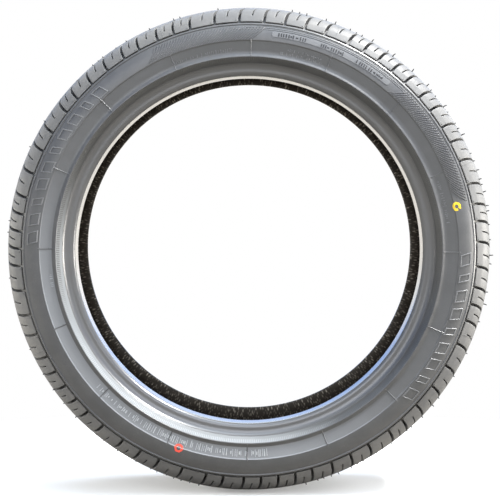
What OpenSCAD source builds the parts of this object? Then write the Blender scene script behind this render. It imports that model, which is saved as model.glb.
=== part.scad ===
// Car tyre, 215/45 R17, loose and standing on its tread.
// One moulded body of rubber. The axle line is Y, Z is up, and the origin is the
// tyre's centre. Section points are [radius, distance from the middle plane].

/* [Bead] */
// Diameter of the bead seat, where the wheel rim goes
seat_d = 436.6; // [430:0.2:440]
// Length of the straight part of each bead seat
seat_length = 6.5; // [5:0.5:8]
// Distance between the two bead faces, which is the rim width
bead_spread = 180; // [168:1:190]
// Width of a bead, from its face to its toe
bead_w = 16.8; // [15.4:0.2:18]
// How far the toe stands in from the seat
toe_drop = 1.8; // [0.5:0.1:2.5]
// Radius of the heel, between the bead face and the seat
heel_r = 6.5; // [5:0.5:7]

/* [Rim protector] */
// Radius of the hollow that fits over the rim's lip
lip_r = 10; // [8:0.5:11]
// Height of the hollow's start above the seat
lip_rise = 8.2; // [7.5:0.1:10]
// Height of the rim protector's sharp edge above the seat
guard_rise = 23.2; // [21:0.2:25]
// How far the rim protector stands out past the sidewall at its widest
guard_reach = 1.3; // [0.6:0.1:2.5]

/* [Sidewall] */
// Width across the sidewalls at their widest
section_w = 215; // [208:1:219]
// Height above the seat at which the sidewalls are widest
widest_rise = 39.7; // [36:0.1:43]
// Thickness of the sidewall at its widest
wall = 9.8; // [8:0.2:12]
// Height of the fine line round the sidewall above its widest place
line_rise = 6; // [4.5:0.1:7]
// How far the thin rib lies below the lower edge of the shoulder blocks
rib_drop = 4.1; // [3.8:0.1:7]
// Number of raised vent lines across each sidewall
vent_lines = 16; // [8:1:24]
// Width of a vent line
vent_line_w = 1.2; // [0.8:0.1:2]

/* [Tread] */
// Height of the section, from the bead seat to the middle of the tread
section_h = 92.2; // [90:0.1:95]
// Radius of the tread's arc across its width
crown_arc = 500; // [420:10:700]
// Half the width of the flat part of the tread
crown_half = 77; // [74:0.5:79]
// Radius of the shoulder
shoulder_arc = 24; // [22:0.5:26]
// How far the lower edge of the shoulder blocks lies below the tread
shoulder_drop = 24; // [22.5:0.1:25.5]
// Thickness of the crown, tread and belts together
crown_t = 16.5; // [14:0.5:19]
// Depth of the grooves round the tread
groove_depth = 7.5; // [5:0.5:8]
// Width of the two inner grooves round the tread
inner_groove_w = 11; // [8:0.5:13]
// Width of the two outer grooves round the tread
outer_groove_w = 9; // [7:0.5:11]
// Width of the middle rib
middle_rib_w = 21; // [16:0.5:26]
// Width of each rib beside it
side_rib_w = 24; // [20:0.5:26]

/* [Tread blocks] */
// Width of the slots between the shoulder blocks
slot_w = 3.2; // [2:0.1:4]
// Radius of the slots' curve
slot_curve = 65; // [58:1:90]
// Width of the short cut in the middle of each shoulder block
sipe_w = 1.2; // [0.8:0.1:1.6]
// Width of the notches in the side ribs
notch_w = 2.4; // [1.6:0.1:3]
// Depth of the notches in the side ribs
notch_depth = 5; // [3:0.5:6]
// How far the notches lean, in degrees
notch_lean = 38; // [20:1:45]
// Length of a middle block over a short one
middle_pitch = 1.2; // [1.1:0.01:1.25]
// Length of a long block over a short one
long_pitch = 1.44; // [1.3:0.01:1.5]

/* [Standing] */
// How far the tread is pressed flat where the tyre stands
flat_depth = 1.5; // [1:0.1:2]

/* [Hidden] */
rubber = [0.16, 0.16, 0.17];
// Lengths of the shoulder blocks, going round from the right: short, middle or long
pitch_order = str("MSMLMSMSMSSSSLMMMLLLSSMSMMMSLMLLSSSS",
                  "LLMLSSSSMLMMLLSMSSSSMMMLSMLLLLSSML");
first_slot = 2.1;
past = 4;          // how far cutters reach past a surface
flatness = 0.06;   // how far a side of a round stretch stands off its arc
block_flatness = 0.14;
line_w = 1.4;      // width and height of the fine lines
line_h = 0.5;
centring_angle = 36;
rib_w = 2.4;
rib_h = 0.9;
vent_line_h = 0.45;   // height of the vent lines where the sidewall is widest
vent_line_low = 2;    // their ends, above the rim protector and past the fine line
vent_line_high = 0.6;
first_vent_line = 22;
plate_h = 0.5;        // the long low plate under the shoulder, and its two ends
plate_low = 11.7;     // its lower edge, below the shoulder blocks, and its width
plate_w = 6.9;
plate_start = 50;
plate_end = 84;
edge_groove_w = 2.2;
edge_groove_depth = 1.4;
groove_draft = 12;    // lean of the walls of the grooves round the tread, in degrees
cut_height = 16;      // height of the cutters over the slots' floors
slot_land = 7.5;      // what is left between the slots and the outer groove
slot_depth = 2.2;     // depth of the slots at their inner end
slot_step = 0.4;      // step from their floors down to the floor of the edge groove
slot_flats = 3;       // number of straight stretches that a cut is curved in
sipe_flats = 1;
sipe_from = 4;        // the short cuts' ends, from the lower edge and from the flat's edge
sipe_to = 11;
sipe_depth = 2.2;
notch_over = 1;       // how far the notches start outside the side rib

// Points along an arc round a centre, from one angle to another
function arc(centre, r, from, to, stands_off = flatness) =
    let (steps = max(2, ceil(abs(to - from) / (2 * acos(1 - stands_off / r)))))
    [for (i = [0 : steps])
        let (t = from + (to - from) * i / steps)
        centre + r * [cos(t), sin(t)]];

// The bead's faces, on which the rest of the section stands
seat_r = seat_d / 2;
face_a = bead_spread / 2;

// The tread's arc, then the shoulder's arc, which starts where the first one ends
outer_r = seat_r + section_h;
crown_centre = [outer_r - crown_arc, 0];
crown_end = asin(crown_half / crown_arc);
shoulder_centre = crown_centre + (crown_arc - shoulder_arc) * [cos(crown_end), sin(crown_end)];
shoulder_end = 62;
shoulder_foot = shoulder_centre + shoulder_arc * [cos(shoulder_end), sin(shoulder_end)];
shoulder_low_r = outer_r - shoulder_drop;
shoulder_low = shoulder_foot
    + (shoulder_foot[0] - shoulder_low_r) * [-1, 1 / tan(shoulder_end)];

// The sidewall: a wide arc at its widest, then a tighter one up to the shoulder
wide_arc = 90;
wide_rise = 8;
wide_end = 90 - asin(wide_rise / wide_arc);
widest_r = seat_r + widest_rise;
wide_centre = [widest_r, section_w / 2 - wide_arc];
wide_top = wide_centre + wide_arc * [cos(wide_end), sin(wide_end)];
upper_end = 46;
upper_arc = (shoulder_low_r - wide_top[0]) / (cos(upper_end) - cos(wide_end));
upper_centre = wide_top - upper_arc * [cos(wide_end), sin(wide_end)];

// The rim protector's edge, and the hollow over the rim's lip
guard = [seat_r + guard_rise, section_w / 2 + guard_reach];
guard_flat = 1;
guard_bend = [2.5, -0.6];   // where the protector's outside starts to hollow
guard_blend = 7.1;          // where the hollow runs out into the wide arc
wide_low = acos((guard[0] + guard_blend - wide_centre[0]) / wide_arc);
lip_centre = [seat_r + lip_rise, face_a + lip_r];
lip_end = 65;

// The bead: heel, seat and toe, whose edge is cut off
heel_centre = [seat_r + heel_r, face_a - heel_r];
toe_a = face_a - bead_w;
toe_r = seat_r - toe_drop;
seat_in = face_a - heel_r - seat_length;
toe_cut = [0.5, 0.6];
toe_back = [4, 0.5];
bead_back = [9.6, 2.6];

// The inside: under the tread, round the shoulder, then down the sidewall to the bead's neck
shoulder_build = 5;         // how far the inside's bend starts in from the tread's
inner_crown_half = crown_half - shoulder_build;
inner_crown_arc = crown_arc - crown_t;
inner_crown_end = asin(inner_crown_half / inner_crown_arc);
inner_wide = section_w / 2 - wall;
inner_bend_h = crown_centre[0] + inner_crown_arc * cos(inner_crown_end) - widest_r;
inner_bend_w = inner_wide - inner_crown_half;
neck = [seat_r + 15.8, face_a - 5.1];
inner_steps = 6;
inner_side = concat(
    [for (i = [0 : inner_steps]) let (t = 1 - i / inner_steps)
        [widest_r - (widest_r - neck[0]) * t, inner_wide - (inner_wide - neck[1]) * t * t]],
    [for (i = [1 : inner_steps]) let (t = 90 * (1 - i / inner_steps))
        [widest_r + inner_bend_h * cos(t), inner_crown_half + inner_bend_w * sin(t)]]);

// One half of the section, from the middle plane outwards and back inside
half_section = concat(
    arc(crown_centre, crown_arc, 0, crown_end),
    arc(shoulder_centre, shoulder_arc, crown_end, shoulder_end, block_flatness),
    [shoulder_low],
    arc(upper_centre, upper_arc, upper_end, wide_end),
    arc(wide_centre, wide_arc, wide_end, wide_low),
    [guard + guard_bend, guard + [guard_flat, 0], guard],
    arc(lip_centre, lip_r, lip_end - 90, -90),
    arc(heel_centre, heel_r, 90, 180),
    [[seat_r, seat_in], [toe_r, toe_a + toe_cut[1]], [toe_r + toe_cut[0], toe_a]],
    [[toe_r, toe_a] + toe_back, [seat_r, toe_a] + bead_back],
    inner_side,
    [for (i = [1 : inner_steps]) let (t = inner_crown_end * (1 - i / inner_steps))
        crown_centre + inner_crown_arc * [cos(t), sin(t)]]);

// Radius of the tread's surface at a distance from the middle plane
function crown_at(a) = crown_centre[0] + sqrt(pow(crown_arc, 2) - pow(a, 2));

// Radius of the shoulder's surface at a distance from the middle plane
function shoulder_at(a) =
    shoulder_centre[0] + sqrt(pow(shoulder_arc, 2) - pow(a - shoulder_centre[1], 2));

// Angle on a round stretch of the section at which it has a given radius from the axle
function angle_at(centre, r, radius) = acos((radius - centre[0]) / r);

// Middles of the grooves round the tread, and the outer edge of the side ribs
inner_middle = (middle_rib_w + inner_groove_w) / 2;
side_rib_in = middle_rib_w / 2 + inner_groove_w;
side_rib_out = side_rib_in + side_rib_w;
outer_middle = side_rib_out + outer_groove_w / 2;
slot_end = side_rib_out + outer_groove_w + slot_land;
sipe_start = shoulder_low[1] - sipe_from;
sipe_end = crown_half - sipe_to;

// Angle of the middle of the groove between the shoulder blocks and the sidewall
edge_groove_angle = upper_end + asin(edge_groove_w / 2 / upper_arc);

// Section of a groove round the tread, which is narrower at its floor
module ring_groove(middle, w) {
    top_r = crown_at(middle);
    floor_r = top_r - groove_depth;
    floor_half = w / 2 - groove_depth * tan(groove_draft);
    past_half = w / 2 + past * tan(groove_draft);
    polygon([[floor_r, middle - floor_half], [floor_r, middle + floor_half],
             [top_r + past, middle + past_half], [top_r + past, middle - past_half]]);
}

// Section of a raised line of a given width, with its middle this far from a centre
module raised_line(centre, r, angle, w) {
    translate(centre + r * [cos(angle), sin(angle)]) circle(r = w / 2, $fn = 24);
}

// The two raised lines and the rib on one sidewall, and the line over the rim's lip
module sidewall_lines() {
    line_sunk = line_w / 2 - line_h;
    raised_line(wide_centre, wide_arc - line_sunk,
                angle_at(wide_centre, wide_arc, widest_r + line_rise), line_w);
    raised_line(upper_centre, upper_arc + rib_h - rib_w / 2,
                angle_at(upper_centre, upper_arc, shoulder_low_r - rib_drop), rib_w);
    raised_line(lip_centre, lip_r + line_sunk, -centring_angle, line_w);
}

// The groove between the shoulder blocks and the sidewall
module edge_groove() {
    translate(upper_centre) rotate(edge_groove_angle) translate([upper_arc, 0])
        square([2 * edge_groove_depth, edge_groove_w], center = true);
}

// The section of one half, with its grooves and lines
module section_half() {
    difference() {
        union() {
            polygon(half_section);
            sidewall_lines();
        }
        ring_groove(inner_middle, inner_groove_w);
        ring_groove(outer_middle, outer_groove_w);
        edge_groove();
    }
}

// The whole tyre before its blocks are cut
module carcass() {
    rotate([-90, 0, 0]) rotate_extrude($fn = 180) {
        section_half();
        mirror([0, 1]) section_half();
    }
}

// A raised line that runs outwards across the front sidewall
module vent_line() {
    low_r = guard[0] + vent_line_low;
    high_r = widest_r + line_rise + vent_line_high;
    translate([-vent_line_w / 2, -section_w / 2 - vent_line_h, low_r])
        cube([vent_line_w, past, high_r - low_r]);
}

// The long low plate on the front sidewall, which follows the bend of its upper arc
module plate() {
    low = angle_at(upper_centre, upper_arc, shoulder_low_r - plate_low - plate_w);
    high = angle_at(upper_centre, upper_arc, shoulder_low_r - plate_low);
    outside = arc(upper_centre, upper_arc + plate_h, low, high);
    inside = arc(upper_centre, upper_arc - plate_h, high, low);
    rotate([-90, 0, 0]) rotate([0, 0, -plate_end])
        rotate_extrude(angle = plate_end - plate_start, $fn = 180)
            mirror([0, 1]) polygon(concat(outside, inside));
}

// What stands out on the front sidewall
module sidewall_marks() {
    for (i = [0 : vent_lines - 1])
        at_angle(first_vent_line + 360 * i / vent_lines) vent_line();
    plate();
}

// Angles of the slots between the blocks
function pitch_length(i) =
    pitch_order[i] == "L" ? long_pitch : pitch_order[i] == "M" ? middle_pitch : 1;
pitch_count = len(pitch_order);
pitch_sums = [for (i = 0, sum = 0; i <= pitch_count;
                   sum = sum + (i < pitch_count ? pitch_length(i) : 0), i = i + 1) sum];
function pitch_angle(i) = first_slot + 360 * pitch_sums[i] / pitch_sums[pitch_count];
function middle_angle(i) = (pitch_angle(i) + pitch_angle(i + 1)) / 2;

// Turns what stands at the top of the tyre to an angle, going round from the right
module at_angle(angle) {
    rotate([0, 90 - angle, 0]) children();
}

// Points along one side of a cut that curves to the right, from its start
function cut_side(r, sweep, sides) =
    [for (i = [0 : sides]) let (t = sweep * i / sides)
        [slot_curve - r * cos(t), r * sin(t)]];

// A cut at the top of the front shoulder that runs from low to high on the section.
// It starts straight across, curves to the right in a few flats and has a flat floor.
module curved_cut(w, low, high, sides) {
    rise = high[0] - low[0];
    run = low[1] - high[1];
    sweep = asin(norm([rise, run]) / slot_curve);
    left = cut_side(slot_curve + w / 2, sweep, sides);
    right = cut_side(slot_curve - w / 2, sweep, sides);
    translate([0, -low[1], low[0]]) rotate([atan2(rise, run), 0, 0])
        linear_extrude(cut_height)
            polygon(concat(left, [for (i = [sides : -1 : 0]) right[i]]));
}

// The slot beside each shoulder block, which opens into the edge groove
module shoulder_slot() {
    start_r = upper_arc - edge_groove_depth + slot_step;
    curved_cut(slot_w,
               upper_centre + start_r * [cos(edge_groove_angle), sin(edge_groove_angle)],
               [crown_at(slot_end) - slot_depth, slot_end], slot_flats);
}

// The short cut in the middle of each shoulder block
module shoulder_sipe() {
    curved_cut(sipe_w,
               [shoulder_at(sipe_start) - sipe_depth, sipe_start],
               [crown_at(sipe_end) - sipe_depth, sipe_end], sipe_flats);
}

// The leaning notch in the outer edge of each side rib
module rib_notch() {
    notch_length = side_rib_w / 2 / cos(notch_lean) + past;
    translate([0, -side_rib_out - notch_over, crown_at(side_rib_out) - notch_depth])
        rotate([0, 0, -notch_lean]) translate([-notch_w / 2, 0, 0])
            cube([notch_w, notch_length, notch_depth + past]);
}

// All the cuts of the front half of the tread
module block_cuts() {
    for (i = [0 : pitch_count - 1]) {
        at_angle(pitch_angle(i)) shoulder_slot();
        at_angle(middle_angle(i)) shoulder_sipe();
        at_angle(middle_angle(i)) rib_notch();
    }
}

// What is pressed flat where the tyre stands on its tread
module standing_flat() {
    translate([0, 0, -outer_r]) cube([outer_r, section_w, 2 * flat_depth], center = true);
}

// The tyre
module tyre() {
    color(rubber) difference() {
        union() {
            carcass();
            sidewall_marks();
            rotate([0, 0, 180]) sidewall_marks();
        }
        block_cuts();
        rotate([0, 0, 180]) block_cuts();
        standing_flat();
    }
}

tyre();
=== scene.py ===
"""A loose low-profile car tyre, standing on its tread on a pale floor.

The carcass is turned from one section. The shoulder blocks and the side ribs are modelled flat, one block
at a time, and laid round the tread in the order of their lengths. The sidewall's lines, bars and plates,
the rubber whiskers and the paint rings are laid on it the same way. All sizes are in metres.
"""

import logging
import math
import random
from collections.abc import Callable, Sequence
from dataclasses import dataclass, field
from enum import Enum

import bmesh
import bpy
import numpy as np
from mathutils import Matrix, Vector


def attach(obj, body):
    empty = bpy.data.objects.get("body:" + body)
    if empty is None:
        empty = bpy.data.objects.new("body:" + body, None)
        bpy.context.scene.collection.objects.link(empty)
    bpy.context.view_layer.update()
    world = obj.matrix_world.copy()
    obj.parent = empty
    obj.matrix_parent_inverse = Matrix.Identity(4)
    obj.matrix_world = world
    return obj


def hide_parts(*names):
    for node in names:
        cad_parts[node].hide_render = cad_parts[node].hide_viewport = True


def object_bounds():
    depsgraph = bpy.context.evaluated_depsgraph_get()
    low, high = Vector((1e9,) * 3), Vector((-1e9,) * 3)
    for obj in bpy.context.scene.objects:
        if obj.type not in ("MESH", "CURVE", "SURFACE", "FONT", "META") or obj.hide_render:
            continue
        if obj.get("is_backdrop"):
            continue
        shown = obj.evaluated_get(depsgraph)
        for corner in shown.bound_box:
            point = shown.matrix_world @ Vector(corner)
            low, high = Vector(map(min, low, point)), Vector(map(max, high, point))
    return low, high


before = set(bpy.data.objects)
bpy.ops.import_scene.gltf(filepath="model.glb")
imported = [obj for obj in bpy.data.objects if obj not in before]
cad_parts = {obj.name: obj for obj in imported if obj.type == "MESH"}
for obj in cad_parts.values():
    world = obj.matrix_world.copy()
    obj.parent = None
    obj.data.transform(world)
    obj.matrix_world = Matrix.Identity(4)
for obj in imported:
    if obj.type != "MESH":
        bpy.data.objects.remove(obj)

LOG = logging.getLogger("tyre")
NODE = "tyre"
BODY = "root"
MM = 0.001
FULL_TURN = 2 * math.pi
# Places closer than this count as the same.
SAME = 1e-6
# How far raised marks reach into the rubber under them.
ROOTED = 0.35 * MM

Point = tuple[float, float]
Triple = tuple[float, float, float]
Socket = bpy.types.NodeSocket
Value = float | Sequence[float] | Socket
Slant = Callable[[np.ndarray], np.ndarray]


class Side(Enum):
    """The two sides of the tyre, seen along its axle line."""

    FRONT = 1
    BACK = -1


class Pick(Enum):
    """What a test picks in edit mode."""

    FACE = "faces"
    EDGE = "edges"


def polar(centre: Point, radius: float, degrees: float) -> Point:
    """Point at an angle and a distance from a centre."""
    t = math.radians(degrees)
    return centre[0] + radius * math.cos(t), centre[1] + radius * math.sin(t)


def near(spot: Point, *steps: Point) -> list[Point]:
    """Points at steps from a spot, each step given in millimetres."""
    return [(spot[0] + step[0] * MM, spot[1] + step[1] * MM) for step in steps]


def on_line(first: Point, last: Point, shares: Sequence[float]) -> list[Point]:
    """Points at shares of the way from one point to another."""
    way = (last[0] - first[0], last[1] - first[1])
    return [(first[0] + way[0] * share, first[1] + way[1] * share) for share in shares]


def spaced(start: float, end: float, step: float) -> list[float]:
    """Angles from start to end, at most one step apart."""
    count = max(2, math.ceil(abs(end - start) / step))
    return [start + (end - start) * i / count for i in range(count + 1)]


def arc(centre: Point, radius: float, start: float, end: float, step: float) -> list[Point]:
    """Points along an arc.

    Args:
        centre: Middle of the arc, as radius and distance from the middle plane.
        radius: Radius of the arc.
        start: First angle in degrees.
        end: Last angle in degrees.
        step: Most degrees between two points.

    Returns:
        The points, both ends included.
    """
    return [polar(centre, radius, angle) for angle in spaced(start, end, step)]


@dataclass(frozen=True)
class Ridge:
    """A fine raised line that runs round the tyre on a round stretch of its section."""

    angle: float
    width: float
    height: float
    flat: float = 0.4
    clear: float = 1.3
    stops: tuple[float, ...] = (-1, -0.6, -0.35, 0, 0.35, 0.6, 1)

    def half(self, radius: float) -> float:
        """Half of its width as an angle in degrees."""
        return math.degrees(self.width / 2 / radius)

    def lift(self, angle: float, radius: float) -> float:
        """How far it stands out at an angle.

        Args:
            angle: Angle on the arc, in degrees.
            radius: Radius of the arc.

        Returns:
            Its height there, 0 beside it.
        """
        share = abs(angle - self.angle) / self.half(radius)
        if share >= 1:
            return 0.0
        return self.height * (1 if share < self.flat else (1 - share) / (1 - self.flat))


def ridged_arc(
    centre: Point, radius: float, start: float, end: float, step: float, ridges: Sequence[Ridge]
) -> list[Point]:
    """Points along an arc that has raised lines on it.

    Args:
        centre: Middle of the arc.
        radius: Radius of the arc.
        start: First angle in degrees.
        end: Last angle in degrees.
        step: Most degrees between two points.
        ridges: The raised lines. A negative height stands towards the arc's middle.

    Returns:
        The points, both ends included.
    """
    angles = spaced(start, end, step)
    for ridge in ridges:
        half = ridge.half(radius)
        angles = [a for a in angles if abs(a - ridge.angle) > half * ridge.clear]
        angles += [ridge.angle + half * share for share in ridge.stops]
    angles.sort(reverse=end < start)
    return [polar(centre, radius + sum(ridge.lift(a, radius) for ridge in ridges), a) for a in angles]


@dataclass(frozen=True)
class Section:
    """The tyre's section: sizes of the bead, the sidewall and the tread."""

    seat_r: float = 218.3 * MM
    face_a: float = 90.0 * MM
    bead_w: float = 16.8 * MM
    toe_drop: float = 1.8 * MM
    heel_r: float = 6.5 * MM
    lip_r: float = 10.0 * MM
    lip_rise: float = 8.2 * MM
    lip_start: float = -25.0
    guard: Point = (241.5 * MM, 107.6 * MM)
    wide_r: float = 258.0 * MM
    half_width: float = 107.5 * MM
    wall: float = 9.8 * MM
    neck: Point = (15.8 * MM, 5.1 * MM)
    wide_arc: float = 90.0 * MM
    line: Point = (262.3 * MM, 107.4 * MM)
    line_step: float = 0.6 * MM
    band_low: Point = (248.8 * MM, 105.6 * MM)
    rib_r: float = 282.4 * MM
    outer_r: float = 310.5 * MM
    crown_arc: float = 500.0 * MM
    crown_half: float = 77.0 * MM
    shoulder_arc: float = 24.0 * MM
    shoulder_end: float = 62.0
    block_low_r: float = 286.5 * MM
    crown_t: float = 16.5 * MM
    groove_depth: float = 7.5 * MM
    inner_groove_w: float = 11.0 * MM
    outer_groove_w: float = 9.0 * MM
    middle_rib_w: float = 21.0 * MM
    side_rib_w: float = 24.0 * MM
    upper_end: float = 46.0
    groove_draft: float = 12.0
    edge_groove_w: float = 2.8 * MM
    edge_groove_depth: float = 2.0 * MM
    flat_depth: float = 1.5 * MM

    @property
    def crown_centre(self) -> Point:
        """Middle of the tread's arc."""
        return self.outer_r - self.crown_arc, 0.0

    @property
    def crown_end(self) -> float:
        """Angle at which the tread's arc ends, in degrees."""
        return math.degrees(math.asin(self.crown_half / self.crown_arc))

    @property
    def shoulder_centre(self) -> Point:
        """Middle of the shoulder's arc."""
        return polar(self.crown_centre, self.crown_arc - self.shoulder_arc, self.crown_end)

    @property
    def shoulder_low(self) -> Point:
        """Lower edge of the shoulder blocks."""
        foot = polar(self.shoulder_centre, self.shoulder_arc, self.shoulder_end)
        drop = foot[0] - self.block_low_r
        return self.block_low_r, foot[1] + drop / math.tan(math.radians(self.shoulder_end))

    @property
    def wide_end(self) -> float:
        """Angle at which the wide arc of the sidewall ends, in degrees."""
        return 90 - math.degrees(math.asin(8 * MM / self.wide_arc))

    @property
    def wide_centre(self) -> Point:
        """Middle of the wide arc of the sidewall."""
        return self.wide_r, self.half_width - self.wide_arc

    @property
    def upper_arc(self) -> float:
        """Radius of the arc from the wide arc up to the shoulder."""
        top = polar(self.wide_centre, self.wide_arc, self.wide_end)
        span = math.cos(math.radians(self.upper_end)) - math.cos(math.radians(self.wide_end))
        return (self.block_low_r - top[0]) / span

    @property
    def upper_centre(self) -> Point:
        """Middle of that arc."""
        top = polar(self.wide_centre, self.wide_arc, self.wide_end)
        return polar(top, -self.upper_arc, self.wide_end)

    @property
    def lip_centre(self) -> Point:
        """Middle of the hollow over the rim's lip."""
        return self.seat_r + self.lip_rise, self.face_a + self.lip_r

    @property
    def lip_top(self) -> Point:
        """Upper end of that hollow."""
        return polar(self.lip_centre, self.lip_r, self.lip_start)

    @property
    def side_rib_in(self) -> float:
        """Inner edge of the side ribs, from the middle plane."""
        return self.middle_rib_w / 2 + self.inner_groove_w

    @property
    def side_rib_out(self) -> float:
        """Outer edge of the side ribs, from the middle plane."""
        return self.side_rib_in + self.side_rib_w

    @property
    def shoulder_in(self) -> float:
        """Inner edge of the shoulder blocks, from the middle plane."""
        return self.side_rib_out + self.outer_groove_w

    def crown_at(self, across: float) -> float:
        """Radius of the tread at a distance from the middle plane."""
        return self.crown_centre[0] + math.sqrt(self.crown_arc**2 - across**2)

    def sidewall(self, plain: bool = False) -> list[Point]:
        """Outside of the sidewall, from the shoulder down to the guard's edge.

        Args:
            plain: Leaves out the fine lines that run round it.

        Returns:
            The points.
        """
        upper = self.upper_centre
        rib_at = math.degrees(math.acos((self.rib_r - upper[0]) / self.upper_arc))
        groove_out = self.upper_end + math.degrees(self.edge_groove_w / self.upper_arc)
        ribs = [] if plain else [Ridge(rib_at, 2.5 * MM, 1.0 * MM)]
        points = ridged_arc(upper, self.upper_arc, groove_out, self.wide_end, 4.0, ribs)
        points += arc(self.wide_centre, self.wide_arc, self.wide_end, 86.9, 1.0)[1:]
        if not plain:
            points += near(self.line, (0.6, 0.12), (0.0, 0.1))
        below = (self.line[0], self.line[1] - self.line_step)
        points += near(self.line, (-0.25, -0.05)) + near(below, (-0.9, 0.0))
        points += on_line(near(below, (-1.6, -0.08))[0], self.band_low, (0.0, 0.35, 0.65, 0.9, 1.0))
        points += near((self.guard[0], self.band_low[1]), (5.3, 0.1), (3.6, 0.45))
        return points + near(self.guard, (2.2, -0.6), (1.2, -0.15), (0.5, 0.0), (0.0, -0.35))

    def bead(self) -> list[Point]:
        """Outside of the bead, from below the guard's edge to the toe.

        Returns:
            The points.
        """
        heel = (self.seat_r, self.face_a - self.heel_r)
        toe = (self.seat_r - self.toe_drop, self.face_a - self.bead_w)
        line = Ridge(-36.0, 0.9 * MM, -0.2 * MM)
        return (
            on_line(near(self.guard, (-0.15, -0.9))[0], self.lip_top, (0.0, 0.35, 0.7))
            + ridged_arc(self.lip_centre, self.lip_r, self.lip_start, -90.0, 6.0, [line])
            + arc((heel[0] + self.heel_r, heel[1]), self.heel_r, 90.0, 160.0, 9.0)
            + near(heel, (0.75, 1.45), (1.0, 1.0), (0.45, 0.45), (0.25, -0.2))
            + near(toe, (0.1, 0.9), (0.0, 0.5), (0.2, 0.15), (0.8, 0.0), (4.0, 0.5))
        )

    def inside(self) -> list[Point]:
        """Inside of the tyre, from above the toe to the middle plane.

        Returns:
            The points.
        """
        half = self.crown_half - 5 * MM
        crown = self.crown_arc - self.crown_t
        end = math.asin(half / crown)
        wide = self.half_width - self.wall
        neck_r, neck_a = self.seat_r + self.neck[0], self.face_a - self.neck[1]
        rise = self.crown_centre[0] + crown * math.cos(end) - self.wide_r
        steps = 10
        side = [(self.wide_r - (self.wide_r - neck_r) * t, wide - (wide - neck_a) * t * t)
                for t in (1 - i / steps for i in range(steps + 1))]
        bend = [(self.wide_r + rise * math.sin(t), half + (wide - half) * math.cos(t))
                for t in (math.pi / 2 * i / steps for i in range(1, steps + 1))]
        toe = near((self.seat_r, self.face_a - self.bead_w), (9.6, 2.6))
        return [*toe, *side, *bend, *arc(self.crown_centre, crown, math.degrees(end), 0.0, 1.5)[1:]]

    def groove(self, low: float, high: float) -> list[Point]:
        """Half section of a groove round the tread.

        Args:
            low: Edge of the groove nearer the middle plane.
            high: Edge of the groove nearer the shoulder.

        Returns:
            The points from the inner edge over the floor to the outer edge.
        """
        middle = (low + high) / 2
        floor_r = self.crown_at(middle) - self.groove_depth
        half = (high - low) / 2 - self.groove_depth * math.tan(math.radians(self.groove_draft))
        before = low - 0.6 * MM
        return (
            [(self.crown_at(before), before)]
            + near((self.crown_at(low), low), (-0.15, -0.2), (-0.6, 0.0))
            + near((floor_r, middle - half), (0.9, -0.15), (0.25, 0.25), (0.0, 0.9))
            + near((floor_r, middle + half), (0.0, -0.9))
        )

    def tread_base(self) -> list[Point]:
        """The tread from the middle plane to the sidewall, with the side ribs and shoulders cut away.

        Returns:
            The points.
        """
        inner = self.groove(self.middle_rib_w / 2, self.side_rib_in)
        outer = self.groove(self.side_rib_out, self.shoulder_in)
        inner_r, outer_r = inner[-1][0], outer[-1][0]
        low_r, low_a = self.shoulder_low
        edge_arc = self.upper_arc - self.edge_groove_depth
        return (
            [(self.crown_at(place), place) for place in (0.0, 5 * MM)]
            + inner
            + near((inner_r, self.side_rib_in), (0.0, -1.0), (-1.2, 2.0))
            + near((outer_r, self.side_rib_out), (-1.2, -2.0), (0.0, 1.0))
            + [outer[-1]]
            + near((outer_r, self.shoulder_in), (0.0, -1.0), (-3.6, 4.0))
            + near((low_r - self.edge_groove_depth, low_a), (-2.4, -1.5))
            + [polar(self.upper_centre, edge_arc, self.upper_end + more) for more in (1.0, 4.0)]
        )

    def half_outline(self) -> list[Point]:
        """One half of the carcass's section, from the middle plane outwards and back inside."""
        return self.tread_base() + self.sidewall() + self.bead() + self.inside()


class SurfacePath:
    """A stretch of the section that flat shapes are laid on."""

    def __init__(self, points: Sequence[Point]) -> None:
        """Measures the stretch.

        Args:
            points: Closely spaced points, as radius and distance from the middle plane.
        """
        line = np.array(points)
        steps = np.diff(line, axis=0)
        self.along = np.concatenate([[0.0], np.cumsum(np.hypot(steps[:, 0], steps[:, 1]))])
        slope = np.gradient(line, self.along, axis=0)
        slope /= np.linalg.norm(slope, axis=1)[:, None]
        self.line = line
        self.normal = np.stack([slope[:, 1], -slope[:, 0]], axis=1)

    @property
    def length(self) -> float:
        """Length of the stretch."""
        return float(self.along[-1])

    def at_radius(self, radius: np.ndarray) -> np.ndarray:
        """Distance along the stretch at which it has a given radius from the axle."""
        order = np.argsort(self.line[:, 0])
        return np.interp(radius, self.line[order, 0], self.along[order])

    def locate(self, along: np.ndarray, height: np.ndarray) -> tuple[np.ndarray, np.ndarray]:
        """Places points on the section.

        Args:
            along: Distances along the stretch; past its ends it runs on straight.
            height: Heights above the surface.

        Returns:
            The radii and the distances from the middle plane.
        """
        held = np.clip(along, 0.0, self.length)
        normal = np.stack([np.interp(held, self.along, self.normal[:, i]) for i in (0, 1)], axis=1)
        normal /= np.linalg.norm(normal, axis=1)[:, None]
        over = along - held
        forward = np.stack([-normal[:, 1], normal[:, 0]], axis=1)
        spot = [np.interp(held, self.along, self.line[:, i]) for i in (0, 1)]
        radius = spot[0] + normal[:, 0] * height + forward[:, 0] * over
        across = spot[1] + normal[:, 1] * height + forward[:, 1] * over
        return radius, across


def in_space(theta: np.ndarray, radius: np.ndarray, across: np.ndarray, side: Side) -> np.ndarray:
    """Turns places on the tyre into points in space.

    Args:
        theta: Angles in radians, going round from the right as seen from that side.
        radius: Distances from the axle line.
        across: Distances from the middle plane.
        side: Which side of the tyre.

    Returns:
        One point for each place.
    """
    turn = side.value
    return np.stack([turn * radius * np.cos(theta), -turn * across, radius * np.sin(theta)], axis=1)


@dataclass(frozen=True)
class Form:
    """A small shape modelled flat: x runs round the tyre, y across its surface and z out of it."""

    points: np.ndarray
    faces: tuple[tuple[int, ...], ...]


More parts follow.
